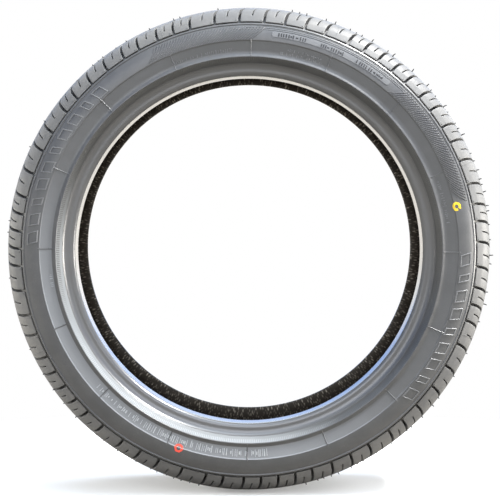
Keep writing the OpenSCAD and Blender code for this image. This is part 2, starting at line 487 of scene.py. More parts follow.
def clear_selection() -> None:
    """Leaves edit mode and deselects everything."""
    if bpy.context.object is not None and bpy.context.object.mode == "EDIT":
        bpy.ops.object.mode_set(mode="OBJECT")
    bpy.ops.object.select_all(action="DESELECT")


def choose(thing: bpy.types.Object) -> None:
    """Selects one object alone."""
    clear_selection()
    bpy.context.view_layer.objects.active = thing
    thing.select_set(True)


def edit(thing: bpy.types.Object) -> None:
    """Opens one object alone in edit mode."""
    choose(thing)
    bpy.ops.object.mode_set(mode="EDIT")


def blank(size: Triple, middle: Triple) -> bpy.types.Object:
    """Adds a box, or a plane for a height of 0, and opens it in edit mode.

    Args:
        size: Size along each axis.
        middle: Place of its middle.

    Returns:
        The object.
    """
    if size[2] > 0:
        bpy.ops.mesh.primitive_cube_add(size=1.0, location=middle)
    else:
        bpy.ops.mesh.primitive_plane_add(size=1.0, location=middle)
    thing = bpy.context.object
    thing.scale = (size[0], size[1], size[2] or 1.0)
    bpy.ops.object.transform_apply(location=True, rotation=False, scale=True)
    edit(thing)
    return thing


def pick(thing: bpy.types.Object, kind: Pick, wanted: Callable[..., bool]) -> int:
    """Selects the faces or edges that pass a test, in edit mode.

    Args:
        thing: The object in edit mode.
        kind: What is selected.
        wanted: Test of one face or edge.

    Returns:
        How many are selected.
    """
    bpy.ops.mesh.select_mode(type=kind.name)
    bpy.ops.mesh.select_all(action="DESELECT")
    mesh = bmesh.from_edit_mesh(thing.data)
    mesh.normal_update()
    found = [part for part in (mesh.faces if kind is Pick.FACE else mesh.edges) if wanted(part)]
    for part in found:
        part.select = True
    mesh.select_flush_mode()
    bmesh.update_edit_mesh(thing.data)
    return len(found)


def is_upright(face: bmesh.types.BMFace) -> bool:
    """Whether a face stands rather than lies."""
    return abs(face.normal.z) < 0.5


def extrude(height: float) -> None:
    """Extrudes what is selected upwards, in edit mode."""
    bpy.ops.mesh.extrude_region_move(TRANSFORM_OT_translate={"value": (0, 0, height)})


def bevel_edges(width: float, segments: int = 1) -> None:
    """Bevels the selected edges, in edit mode."""
    bpy.ops.mesh.bevel(offset=width, segments=segments, affect="EDGES")


def turn_outwards() -> None:
    """Turns all faces of the open mesh outwards, in edit mode."""
    bpy.ops.mesh.select_all(action="SELECT")
    bpy.ops.mesh.normals_make_consistent(inside=False)


def cut_across(axis: int, places: Sequence[float]) -> None:
    """Cuts the open mesh along planes square to an axis, in edit mode.

    Args:
        axis: Number of the axis.
        places: Where the planes stand on it.
    """
    normal = [0.0, 0.0, 0.0]
    normal[axis] = 1.0
    for place in places:
        spot = [0.0, 0.0, 0.0]
        spot[axis] = place
        bpy.ops.mesh.select_all(action="SELECT")
        bpy.ops.mesh.bisect(plane_co=spot, plane_no=normal)


def points_of(mesh: bpy.types.Mesh) -> np.ndarray:
    """The places of a mesh's vertices."""
    points = np.empty(len(mesh.vertices) * 3)
    mesh.vertices.foreach_get("co", points)
    return points.reshape(-1, 3)


def take_form(thing: bpy.types.Object) -> Form:
    """Keeps an object's points and faces as a form and removes the object.

    Args:
        thing: The object.

    Returns:
        The form.
    """
    clear_selection()
    mesh = thing.data
    form = Form(points_of(mesh), tuple(tuple(p.vertices) for p in mesh.polygons))
    bpy.data.objects.remove(thing)
    bpy.data.meshes.remove(mesh)
    return form


@dataclass(frozen=True)
class Trench:
    """A slot cut into a flat block: its place on the block and the depth of its floor."""

    x: Point
    y: Point
    depth: Callable[[float], float]

    def holds(self, x: float, y: float, slack: float = 0.0) -> bool:
        """Whether a place lies in the slot, or less than the slack outside it."""
        return (self.x[0] - slack < x < self.x[1] + slack) and (self.y[0] - slack < y < self.y[1] + slack)


@dataclass(frozen=True)
class BlockShape:
    """The plan of one tread block, modelled flat.

    x runs round the tyre and y across the tread. Below y_low and above y_high the rubber is sunk.
    """

    length: float
    y_low: float
    y_high: float
    margin: float
    lead: float
    rows: tuple[float, ...]
    trenches: tuple[Trench, ...]
    low_depth: float
    high_depth: float
    corner: float = 1.3 * MM
    bevel: float = 0.75 * MM
    column: float = 6.5 * MM
    slack: float = 0.02 * MM
    drop: float = 2.0 * MM

    @property
    def xs(self) -> Point:
        """First and last place of the plan, round the tyre."""
        return -self.lead, self.length - self.lead

    @property
    def ys(self) -> Point:
        """First and last place of the plan, across the tread."""
        return self.y_low - self.margin, self.y_high + self.margin

    def is_sunk(self, face: bmesh.types.BMFace) -> bool:
        """Whether a face lies below the block's top."""
        x, y, _ = face.calc_center_median()
        return y < self.y_low or y > self.y_high or any(t.holds(x, y) for t in self.trenches)

    def floor(self, x: float, y: float) -> float:
        """Depth of the sunk rubber at a place on the plan.

        Args:
            x: Place round the tyre.
            y: Place across the tread.

        Returns:
            The depth below the block's top.
        """
        if self.y_low - SAME <= y <= self.y_high + SAME:
            for trench in self.trenches:
                if trench.holds(x, y, self.slack):
                    return trench.depth(y)
        return self.low_depth if y < (self.y_low + self.y_high) / 2 else self.high_depth

    def columns(self) -> list[float]:
        """Places along x at which the block is cut, so that it can bend round the tyre.

        Returns:
            The places, without both ends of the plan.
        """
        stops = sorted({*self.xs, *(x for t in self.trenches for x in t.x)})
        places = []
        for low, high in zip(stops, stops[1:]):
            parts = max(1, round((high - low) / self.column))
            places += [low + (high - low) * i / parts for i in range(parts + 1)]
        return sorted(set(places))[1:-1]

    def build(self) -> Form:
        """Models the block: a plane is cut into columns and rows, sunk, and its edges are bevelled.

        Returns:
            The block as a flat form.
        """
        (x0, x1), (y0, y1) = self.xs, self.ys
        block = blank((x1 - x0, y1 - y0, 0.0), ((x0 + x1) / 2, (y0 + y1) / 2, 0.0))
        cut_across(0, self.columns())
        stops = {self.y_low, self.y_high, *self.rows, *(y for t in self.trenches for y in t.y)}
        cut_across(1, sorted(y for y in stops if y0 < y < y1))
        pick(block, Pick.FACE, self.is_sunk)
        extrude(-self.drop)
        if pick(block, Pick.FACE, self.on_border):
            bpy.ops.mesh.delete(type="FACE")
        if self.corner > 0 and pick(block, Pick.EDGE, self.is_corner):
            bevel_edges(self.corner, 3)
        if pick(block, Pick.EDGE, self.is_top):
            bevel_edges(self.bevel, 2)
        self.set_floors(block)
        return take_form(block)

    def on_border(self, face: bmesh.types.BMFace) -> bool:
        """Whether a face is a wall that the extrusion left along the outer border.

        Args:
            face: The face.

        Returns:
            Whether it is one.
        """
        middle = face.calc_center_median()
        near_x = min(abs(middle.x - x) for x in self.xs) < SAME
        near_y = min(abs(middle.y - y) for y in self.ys) < SAME
        return is_upright(face) and (near_x or near_y)

    def is_corner(self, edge: bmesh.types.BMEdge) -> bool:
        """Whether an edge is an upright corner at the block's outer end."""
        first, last = (v.co for v in edge.verts)
        inside = all(self.xs[0] + SAME < spot.x < self.xs[1] - SAME for spot in (first, last))
        return abs(first.z - last.z) > self.drop / 2 and inside and abs(first.y - self.y_high) < SAME

    def is_top(self, edge: bmesh.types.BMEdge) -> bool:
        """Whether an edge lies between the top and an upright wall."""
        level = all(abs(v.co.z) <= SAME for v in edge.verts)
        return level and len(edge.link_faces) == 2 and any(is_upright(f) for f in edge.link_faces)

    def set_floors(self, block: bpy.types.Object) -> None:
        """Moves what was sunk to its true depth.

        Args:
            block: The block in edit mode.
        """
        mesh = bmesh.from_edit_mesh(block.data)
        for vertex in mesh.verts:
            if vertex.co.z < SAME - self.drop:
                vertex.co.z = -self.floor(vertex.co.x, vertex.co.y)
        bmesh.update_edit_mesh(block.data)


@dataclass(frozen=True)
class Pitch:
    """The order and the lengths of the tread blocks, going round the tyre."""

    order: str = "MSMLMSMSMSSSSLMMMLLLSSMSMMMSLMLLSSSSLLMLSSSSMLMMLLSMSSSSMMMLSMLLLLSSML"
    first: float = 2.1
    shares: tuple[tuple[str, float], ...] = (("S", 1.0), ("M", 1.2), ("L", 1.44))

    def share(self, kind: str) -> float:
        """Length of a block over that of a short one."""
        return dict(self.shares)[kind]

    @property
    def short(self) -> float:
        """Angle that a short block spans, in radians."""
        return FULL_TURN / sum(self.share(kind) for kind in self.order)

    def starts(self) -> list[tuple[float, str]]:
        """Angle in radians at which each block starts, with its kind.

        Returns:
            An angle and a kind for each block.
        """
        angle, found = math.radians(self.first), []
        for kind in self.order:
            found.append((angle, kind))
            angle += self.short * self.share(kind)
        return found


def make_piece(
    name: str, points: np.ndarray, faces: Sequence[Sequence[int]], edges: Sequence[Sequence[int]] = ()
) -> bpy.types.Object:
    """Makes one object and links it to the scene.

    Args:
        name: Name of the piece.
        points: Its points.
        faces: Its faces, as numbers of points.
        edges: Its loose edges, as numbers of points.

    Returns:
        The piece.
    """
    mesh = bpy.data.meshes.new(name)
    mesh.from_pydata(points.tolist(), edges, faces)
    mesh.update()
    thing = bpy.data.objects.new(name, mesh)
    bpy.context.scene.collection.objects.link(thing)
    return thing


def weld(thing: bpy.types.Object, distance: float = 0.01 * MM) -> None:
    """Merges doubles and turns the faces outwards.

    Args:
        thing: The object.
        distance: Points closer than this are merged.
    """
    edit(thing)
    bpy.ops.mesh.select_all(action="SELECT")
    bpy.ops.mesh.remove_doubles(threshold=distance)
    turn_outwards()
    clear_selection()


def shade(thing: bpy.types.Object, degrees: float) -> None:
    """Shades a piece smooth, apart from edges sharper than an angle."""
    choose(thing)
    bpy.ops.object.shade_smooth_by_angle(angle=math.radians(degrees))
    clear_selection()


def even_normals(thing: bpy.types.Object) -> None:
    """Turns the shading normals towards the larger faces, so that only the bevels look round.

    Args:
        thing: The object.
    """
    choose(thing)
    bpy.ops.object.modifier_add(type="WEIGHTED_NORMAL")
    modifier = thing.modifiers[-1]
    modifier.weight = 90
    modifier.keep_sharp = True
    bpy.ops.object.modifier_apply(modifier=modifier.name)
    clear_selection()


def press_flat(thing: bpy.types.Object, lowest: float) -> None:
    """Presses what lies below the floor's height flat against it.

    Args:
        thing: The object.
        lowest: Height of the floor.
    """
    points = points_of(thing.data)
    points[:, 2] = np.maximum(points[:, 2], lowest)
    thing.data.vertices.foreach_set("co", points.ravel())
    thing.data.update()


class Patchwork:
    """Gathers many laid forms into one piece on one side of the tyre."""

    def __init__(self, name: str, finish: "Finish", side: Side = Side.FRONT) -> None:
        """Starts an empty piece of a given name and finish.

        Args:
            name: Name of the piece.
            finish: Its finish.
            side: Side of the tyre that it is on.
        """
        self.name = name
        self.finish = finish
        self.side = side
        self.points: list[np.ndarray] = []
        self.faces: list[list[int]] = []
        self.count = 0

    def lay(self, form: Form, path: SurfacePath, angle: float, along: float,
            spread: float | None = None, slant: Slant | None = None) -> None:
        """Lays a flat form on the tyre.

        Args:
            form: The form.
            path: Stretch of the section that it lies on.
            angle: Angle of the form's x = 0, in radians.
            along: Distance along the stretch of its y = 0.
            spread: Radius that turns x into an angle; each point's own radius if None.
            slant: How far x is moved back at each y.
        """
        x, y, z = form.points.T
        radius, across = path.locate(y + along, z)
        moved = x if slant is None else x - slant(y + along)
        theta = angle + moved / (radius if spread is None else spread)
        self.points.append(in_space(theta, radius, across, self.side))
        self.faces += [[i + self.count for i in face] for face in form.faces]
        self.count += len(x)

    def build(self, smooth: float | None = None) -> bpy.types.Object:
        """Makes the piece.

        Args:
            smooth: Angle in degrees under which its edges are shaded smooth; None leaves them flat.

        Returns:
            The piece.
        """
        piece = make_piece(self.name, np.concatenate(self.points), self.faces)
        piece.data.materials.append(material_of(self.finish))
        if smooth is not None:
            shade(piece, smooth)
        return piece


class Graph:
    """Short cuts for building a node tree."""

    def __init__(self, tree: bpy.types.NodeTree, output: str) -> None:
        """Clears a tree and adds its output and the coordinates.

        Args:
            tree: The tree.
            output: Kind of its output, without the prefix.
        """
        self.nodes = tree.nodes
        self.links = tree.links
        self.nodes.clear()
        self.out = self.add(output)
        self.place = self.add("TexCoord").outputs

    def add(self, kind: str, inputs: dict[str | int, Value] | None = None,
            **settings: str | bool) -> bpy.types.Node:
        """Adds a node.

        Args:
            kind: Its kind, without the prefix that all shader nodes have.
            inputs: A value or a link for each of the inputs that are used.
            settings: Its properties.

        Returns:
            The node.
        """
        node = self.nodes.new(f"ShaderNode{kind}")
        for name, setting in settings.items():
            setattr(node, name, setting)
        for name, value in (inputs or {}).items():
            self.feed(node, name, value)
        return node

    def feed(self, node: bpy.types.Node, name: str | int, value: Value) -> None:
        """Sets one input of a node, or links it.

        Args:
            node: The node.
            name: Name or number of the input.
            value: Its value or link.
        """
        if isinstance(value, Socket):
            self.links.new(value, node.inputs[name])
        else:
            node.inputs[name].default_value = value

    def noise(self, scale: float, detail: float = 3.0, rough: float = 0.5) -> Socket:
        """A noise texture's grey value."""
        return self.add("TexNoise", {"Scale": scale, "Detail": detail, "Roughness": rough,
                                     "Vector": self.place["Object"]}).outputs["Fac"]

    def ramp(self, value: Socket, low: Point, high: Point) -> Socket:
        """Maps a value from low[0]..high[0] to low[1]..high[1], held at the ends."""
        return self.add("MapRange", {"Value": value, "From Min": low[0], "From Max": high[0],
                                     "To Min": low[1], "To Max": high[1]}, clamp=True).outputs["Result"]

    def math(self, kind: str, *values: Value) -> Socket:
        """A math node."""
        return self.add("Math", dict(enumerate(values)), operation=kind).outputs["Value"]

    def mix(self, share: Socket, first: Triple | Socket, second: Triple | Socket) -> Socket:
        """Mixes two colours."""
        inputs = {"Factor": share, 6: rgba(first), 7: rgba(second)}
        return self.add("Mix", inputs, data_type="RGBA").outputs[2]

    def mix_shaders(self, share: Socket, first: Socket, second: Socket) -> Socket:
        """Mixes two shaders."""
        return self.add("MixShader", {"Fac": share, 1: first, 2: second}).outputs["Shader"]

    def bump(self, height: Socket, strength: float, distance: float, under: Socket | None = None) -> Socket:
        """A bump node, on top of another one if given.

        Args:
            height: Height that it follows.
            strength: Share of it that shows.
            distance: Height of its peaks.
            under: Normal of the bump below it.

        Returns:
            The new normal.
        """
        node = self.add("Bump", {"Strength": strength, "Distance": distance, "Height": height})
        if under is not None:
            self.feed(node, "Normal", under)
        return node.outputs["Normal"]


class Coat(Graph):
    """The tree of a new material, with a shader linked to its output."""

    def __init__(self, name: str) -> None:
        """Makes the material.

        Args:
            name: Name of the material.
        """
        self.material = bpy.data.materials.new(name)
        self.material.use_nodes = True
        super().__init__(self.material.node_tree, "OutputMaterial")
        self.shader = self.add("BsdfPrincipled")
        self.feed(self.out, "Surface", self.shader.outputs["BSDF"])

    def finish(self, inputs: dict[str, Value]) -> bpy.types.Material:
        """Gives the shader its inputs and returns the material."""
        for name, value in inputs.items():
            self.feed(self.shader, name, value)
        return self.material


def rgba(colour: Triple | Socket) -> Value:
    """A colour with its opacity, or the link that gives one."""
    return colour if isinstance(colour, Socket) else (*colour, 1.0)


@dataclass(frozen=True)
class RubberFinish:
    """Moulded rubber: its tone, its dust, a painted highlight that lightens it towards one angle, and its
    fine grain.
    """

    name: str
    dark: Triple
    light: Triple
    # Colour of the dust patches, and also of the painted highlight that lightens one side of the tyre.
    dust: Triple
    dusty: float
    roughness: Point
    grain: float = 700.0
    grain_depth: float = 0.00003
    specular: float = 0.5
    waves: float = 0.25
    sheen: float = 0.0
    # How strongly the tone is lightened towards one angle, a painted highlight; 0 for none.
    painted_highlight: float = 0.0
    painted_highlight_at: float = 228.0
    painted_highlight_reach: Point = (0.03, 0.19)
    cloud_scale: float = 7.0
    patch_scale: float = 38.0
    wear_scale: float = 55.0
    wave_scale: float = 160.0

    def build(self) -> bpy.types.Material:
        """Makes the material.

        Returns:
            The material.
        """
        graph = Coat(self.name)
        cloud = graph.noise(self.cloud_scale, 4.0, 0.6)
        tone = graph.mix(graph.ramp(cloud, (0.3, 0.0), (0.7, 1.0)), self.dark, self.light)
        # Painted highlight: towards one angle the tone is mixed into the dust colour, standing in for the
        # light that falls on that side of the tyre.
        if self.painted_highlight > 0:
            tone = graph.mix(self.painted_highlight_share(graph, cloud), tone, self.dust)
        fine = graph.noise(self.grain, 2.0)
        patch = graph.ramp(graph.noise(self.patch_scale, 5.0, 0.65), (0.42, 0.0), (0.75, self.dusty))
        dust = graph.math("MULTIPLY", patch, graph.ramp(fine, (0.35, 0.35), (0.65, 1.0)))
        under = graph.bump(graph.noise(self.wave_scale), self.waves, 0.0003)
        smooth, rough = self.roughness
        return graph.finish({
            "Base Color": graph.mix(dust, tone, self.dust),
            "Roughness": graph.ramp(graph.noise(self.wear_scale, 4.0), (0.3, smooth), (0.7, rough)),
            "Specular IOR Level": self.specular,
            "Metallic": self.sheen,
            "Normal": graph.bump(fine, 0.5, self.grain_depth, under),
        })

    def painted_highlight_share(self, graph: Graph, cloud: Socket) -> Socket:
        """How much painted highlight lies at a place: it grows towards the angle where light falls, a little
        unevenly.

        Args:
            graph: The material's tree.
            cloud: Noise that makes it uneven.

        Returns:
            The share, from 0 to 1.
        """
        turn = math.radians(self.painted_highlight_at)
        reach = graph.add("VectorMath", {0: graph.place["Object"], 1: (math.cos(turn), 0.0, math.sin(turn))},
                          operation="DOT_PRODUCT")
        low, high = self.painted_highlight_reach
        close = graph.ramp(reach.outputs["Value"], (low, 0.0), (high, self.painted_highlight))
        return graph.math("MULTIPLY", close, graph.ramp(cloud, (0.25, 0.75), (0.75, 1.0)))


@dataclass(frozen=True)
class LinerFinish:
    """Inner liner: dark rubber with the slanted marks of the curing bladder."""

    name: str
    dark: Triple
    mark: Triple
    turn: float = 35.0
    squeeze: float = 0.36
    scale: float = 360.0
    uneven: float = 0.55

    def build(self) -> bpy.types.Material:
        """Makes the material. The piece's own UV runs round the tyre and along its section.

        Returns:
            The material.
        """
        graph = Coat(self.name)
        slant = graph.add("Mapping", {"Rotation": (0.0, 0.0, math.radians(self.turn)),
                                      "Scale": (1.0, self.squeeze, 1.0), "Vector": graph.place["UV"]})
        cells = graph.add("TexVoronoi", {"Scale": self.scale, "Randomness": self.uneven,
                                         "Vector": slant.outputs["Vector"]})
        streak = graph.ramp(cells.outputs["Distance"], (0.14, 1.0), (0.46, 0.0))
        fade = graph.ramp(graph.noise(160.0, 3.0), (0.35, 0.15), (0.60, 1.0))
        return graph.finish({
            "Base Color": graph.mix(graph.math("MULTIPLY", streak, fade), self.dark, self.mark),
            "Roughness": graph.ramp(graph.noise(90.0, 3.0), (0.3, 0.35), (0.7, 0.6)),
            "Normal": graph.bump(streak, 0.6, 0.0005),
        })


@dataclass(frozen=True)
class PaintFinish:
    """A stamped paint mark that is worn thin in places."""

    name: str
    colour: Triple
    worn: Triple
    wear: Point

    def build(self) -> bpy.types.Material:
        """Makes the material.

        Returns:
            The material.
        """
        graph = Coat(self.name)
        gone = graph.ramp(graph.noise(420.0, 4.0, 0.65), (self.wear[0], 0.0), (self.wear[1], 1.0))
        return graph.finish({
            "Base Color": graph.mix(gone, self.colour, self.worn),
            "Roughness": graph.ramp(graph.noise(700.0, 2.0), (0.3, 0.45), (0.7, 0.7)),
            "Normal": graph.bump(graph.noise(900.0, 2.0), 0.4, 0.0001),
        })


Finish = RubberFinish | LinerFinish | PaintFinish

TREAD = RubberFinish(
    "tread_rubber", (0.102, 0.103, 0.106), (0.130, 0.130, 0.129), (0.19, 0.185, 0.176),
    dusty=0.55, roughness=(0.42, 0.54), grain=520.0, grain_depth=0.00012, specular=0.3)
SIDEWALL = RubberFinish(
    "sidewall_rubber", (0.060, 0.061, 0.064), (0.078, 0.079, 0.081), (0.12, 0.12, 0.12),
    dusty=0.5, roughness=(0.34, 0.46), grain=640.0, grain_depth=0.00008)
BEAD = RubberFinish(
    "bead_rubber", (0.064, 0.065, 0.067), (0.076, 0.076, 0.077), (0.10, 0.10, 0.10),
    dusty=0.3, roughness=(0.28, 0.32), grain_depth=0.00002, specular=0.8, waves=0.03)
# Painted highlight: the band between the guard and the fine line turns a pale bluish grey towards the lower
# left, standing in for the light and the sky's reflection it catches there.
BAND = RubberFinish(
    "band_rubber", (0.062, 0.063, 0.065), (0.079, 0.080, 0.082), (0.200, 0.210, 0.225),
    dusty=0.1, roughness=(0.32, 0.42), grain=640.0, grain_depth=0.00008, painted_highlight=0.95, painted_highlight_at=236.0)
# Painted highlight: the rim guard's slope is lightened towards the lower left, where it faces the sun.
GUARD = RubberFinish(
    "guard_rubber", (0.050, 0.051, 0.051), (0.060, 0.061, 0.061), (0.188, 0.198, 0.205),
    dusty=0.1, roughness=(0.29, 0.33), specular=0.7, waves=0.04, painted_highlight=0.95, painted_highlight_at=226.0,
    painted_highlight_reach=(0.08, 0.16))
# Painted highlight: the guard's fine ribs are lightened towards the lower left, where the slope faces the
# sun.
KNURL = RubberFinish(
    "knurl_rubber", (0.048, 0.049, 0.049), (0.058, 0.059, 0.059), (0.265, 0.28, 0.29),
    dusty=0.1, roughness=(0.30, 0.36), specular=0.6, waves=0.04, painted_highlight=1.0, painted_highlight_at=243.0,
    painted_highlight_reach=(0.13, 0.21))
# Painted reflection: the black bead seat is given a pale, mostly metallic finish so that it mirrors the
# surroundings, cream above and blue below.
SEAT = RubberFinish(
    "seat_rubber", (0.70, 0.695, 0.68), (0.76, 0.75, 0.735), (0.60, 0.59, 0.57),
    dusty=0.4, roughness=(0.10, 0.14), grain=900.0, grain_depth=0.00001, specular=1.0, waves=0.0, sheen=0.8)
# Painted shade: the bars on the long plate are darker than the rubber round them, standing in for the
# shadows they cast.
PRINT_PAINTED_SHADE = RubberFinish(
    "print_rubber", (0.022, 0.022, 0.024), (0.034, 0.034, 0.036), (0.06, 0.06, 0.06),
    dusty=0.3, roughness=(0.45, 0.55), specular=0.3)
# Painted highlight: the fine ticks are lighter than the sidewall, standing in for the glints on their edges,
# and lighter still towards the lower left.
FINE_PRINT_PAINTED_HIGHLIGHT = RubberFinish(
    "fine_print_rubber", (0.090, 0.093, 0.098), (0.110, 0.113, 0.118), (0.42, 0.44, 0.46),
    dusty=0.2, roughness=(0.34, 0.44), specular=0.4, painted_highlight=0.95, painted_highlight_at=244.0)
# Painted shade: the whiskers are much darker than the tread rubber they are made of, standing in for their
# backlit look against the bright surroundings.
WHISKER_PAINTED_SHADE = RubberFinish(
    "whisker_rubber", (0.018, 0.018, 0.019), (0.028, 0.028, 0.029), (0.05, 0.05, 0.05),
    dusty=0.2, roughness=(0.55, 0.65), specular=0.2)
# Painted highlight: the raised plate and frames are lighter than the sidewall rubber they are made of,
# standing in for the glints on their edges.
RAISED_PAINTED_HIGHLIGHT = RubberFinish(
    "raised_rubber", (0.108, 0.111, 0.117), (0.132, 0.135, 0.140), (0.18, 0.18, 0.18),
    dusty=0.4, roughness=(0.36, 0.44), specular=0.45)
LINER = LinerFinish("inner_liner", (0.046, 0.038, 0.030), (0.42, 0.38, 0.32))
YELLOW = PaintFinish("yellow_paint", (0.72, 0.50, 0.02), (0.20, 0.19, 0.13), (0.60, 0.75))
RED = PaintFinish("red_paint", (0.80, 0.085, 0.055), (0.45, 0.10, 0.08), (0.60, 0.75))


def material_of(finish: Finish) -> bpy.types.Material:
    """The material of a finish, made once."""
    return bpy.data.materials.get(finish.name) or finish.build()


class Zone(Enum):
    """Parts of the body that look different, numbered as its materials."""

    SIDEWALL = 0
    TREAD = 1
    BEAD = 2
    LINER = 3
    SEAT = 4
    BAND = 5
    GUARD = 6


@dataclass
class Carcass:
    """The tyre's body: middle rib, grooves, sidewalls, rim guards, beads and liner, turned in one piece."""

    section: Section
    steps: int = 240
    finishes: tuple[Finish, ...] = (SIDEWALL, TREAD, BEAD, LINER, SEAT, BAND, GUARD)
    cavity_r: float = 262 * MM
    cavity_top: float = 297 * MM
    tread_low: float = 295 * MM
    tread_half: float = 62 * MM
    seat_top: float = 219.3 * MM
    seat_half: float = 87 * MM
    lip_top: float = 234.8 * MM
    band_low: float = 247.5 * MM

    def build(self) -> bpy.types.Object:
        """Turns the section round the axle line and dresses it.

        Returns:
            The body.
        """
        half = self.section.half_outline()
        ring = half + [(r, -a) for r, a in reversed(half) if abs(a) > 1e-9]
        points = np.array([(r, -a, 0.0) for r, a in ring])
        body = make_piece("carcass", points, [], [(i, (i + 1) % len(ring)) for i in range(len(ring))])
        edit(body)
        bpy.ops.mesh.select_all(action="SELECT")
        bpy.ops.mesh.spin(steps=self.steps, angle=FULL_TURN, center=(0, 0, 0), axis=(0, 1, 0))
        weld(body)
        press_flat(body, self.section.flat_depth - self.section.outer_r)
        self.dress(body)
        shade(body, 40.0)
        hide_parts(NODE)
        return body

    def dress(self, body: bpy.types.Object) -> None:
        """Gives each zone its finish and lays a UV round the tyre and along its section.

        Args:
            body: The body.
        """
        mesh = body.data
        for finish in self.finishes:
            mesh.materials.append(material_of(finish))
        for polygon in mesh.polygons:
            polygon.material_index = self.zone(polygon).value
        layer = mesh.uv_layers.new(name="round")
        for polygon in mesh.polygons:
            centre = polygon.center
            middle = math.atan2(centre.z, centre.x)
            for loop in polygon.loop_indices:
                spot = mesh.vertices[mesh.loops[loop].vertex_index].co
                turn = math.atan2(spot.z, spot.x)
                turn += FULL_TURN * round((middle - turn) / FULL_TURN)
                radius = math.hypot(spot.x, spot.z)
                layer.data[loop].uv = (turn * 0.25, radius + spot.y * 0.35)

    def zone(self, polygon: bpy.types.MeshPolygon) -> Zone:
        """The part that a face belongs to.

        Args:
            polygon: The face.

        Returns:
            The part.
        """
        spot = polygon.center
        radius, across = math.hypot(spot.x, spot.z), abs(spot.y)
        out = (polygon.normal.x * spot.x + polygon.normal.z * spot.z) / radius
        side = polygon.normal.y * math.copysign(1.0, spot.y)
        if radius < self.cavity_top and out * (radius - self.cavity_r) + side * across < 0:
            return Zone.LINER
        if radius > self.tread_low and across < self.tread_half:
            return Zone.TREAD
        if radius < self.seat_top and across < self.seat_half:
            return Zone.SEAT
        if radius < self.section.guard[0] - 0.2 * MM:
            return Zone.BEAD if radius < self.lip_top else Zone.GUARD
        in_band = self.band_low < radius < self.section.line[0] - 0.5 * MM
        return Zone.BAND if in_band else Zone.SIDEWALL


@dataclass
class TreadRing:
    """Blocks of one shape laid round the tyre, with their floors closed underneath."""

    section: Section
    pitch: Pitch
    name: str
    spread: float
    path: SurfacePath = field(init=False)

    def __post_init__(self) -> None:
        """Measures the tread's section from the middle plane to the blocks' lower edge."""
        section = self.section
        points = arc(section.crown_centre, section.crown_arc, 0.0, section.crown_end, 0.8)
        points += arc(section.shoulder_centre, section.shoulder_arc, section.crown_end,
                      section.shoulder_end, 2.5)[1:]
        self.path = SurfacePath(points + [section.shoulder_low])

    def shape(self, length: float) -> BlockShape:
        """Plan of a block of a given length."""
        raise NotImplementedError

    def slant(self, y: np.ndarray) -> np.ndarray:
        """How far the blocks are moved back at a distance along the section."""
        raise NotImplementedError

    def along_at(self, across: float) -> float:
        """Distance along the section at a distance from the middle plane."""
        return float(np.interp(across, self.path.line[:, 1], self.path.along))

    def chord(self, first: Point, last: Point) -> Callable[[float], float]:
        """Depth below the tread of a straight floor.

        Args:
            first: One end of the floor, as radius and distance from the middle plane.
            last: Its other end.

        Returns:
            A function that gives the floor's depth at a distance along the section.
        """
        line = np.array(last) - np.array(first)
        across = np.array([line[1], -line[0]]) / np.hypot(*line)

        def depth(y: float) -> float:
            """Depth of the floor at a distance along the section.

            Args:
                y: The distance.

            Returns:
                The depth below the tread.
            """
            held = float(np.clip(y, 0.0, self.path.length))
            spot = np.array([np.interp(held, self.path.along, self.path.line[:, i]) for i in (0, 1)])
            normal = np.array([np.interp(held, self.path.along, self.path.normal[:, i]) for i in (0, 1)])
            return float(abs((spot - np.array(first)) @ across / (normal @ across)))

        return depth

    def build(self, side: Side) -> bpy.types.Object:
        """Models a block of each length, lays all of them and joins them to one ring.

        Args:
            side: Side of the tyre.

        Returns:
            The ring.
        """
        forms = {kind: self.shape(self.pitch.short * share * self.spread).build()
                 for kind, share in self.pitch.shares}
        ring = Patchwork(f"{self.name}_{side.name.lower()}", TREAD, side)
        for angle, kind in self.pitch.starts():
            ring.lay(forms[kind], self.path, angle, 0.0, self.spread, self.slant)
        piece = ring.build()
        weld(piece, 0.02 * MM)
        self.close_below(piece)
        press_flat(piece, self.section.flat_depth - self.section.outer_r)
        shade(piece, 35.0)
        even_normals(piece)
        return piece

    def close_below(self, piece: bpy.types.Object) -> None:
        """Bridges the ring's two open borders.

        Args:
            piece: The ring.
        """
        edit(piece)
        bpy.ops.mesh.select_mode(type="EDGE")
        bpy.ops.mesh.select_all(action="DESELECT")
        bpy.ops.mesh.select_non_manifold(extend=False, use_wire=False, use_boundary=True,
                                         use_multi_face=False, use_non_contiguous=False, use_verts=False)
        bpy.ops.mesh.bridge_edge_loops()
        turn_outwards()
        clear_selection()


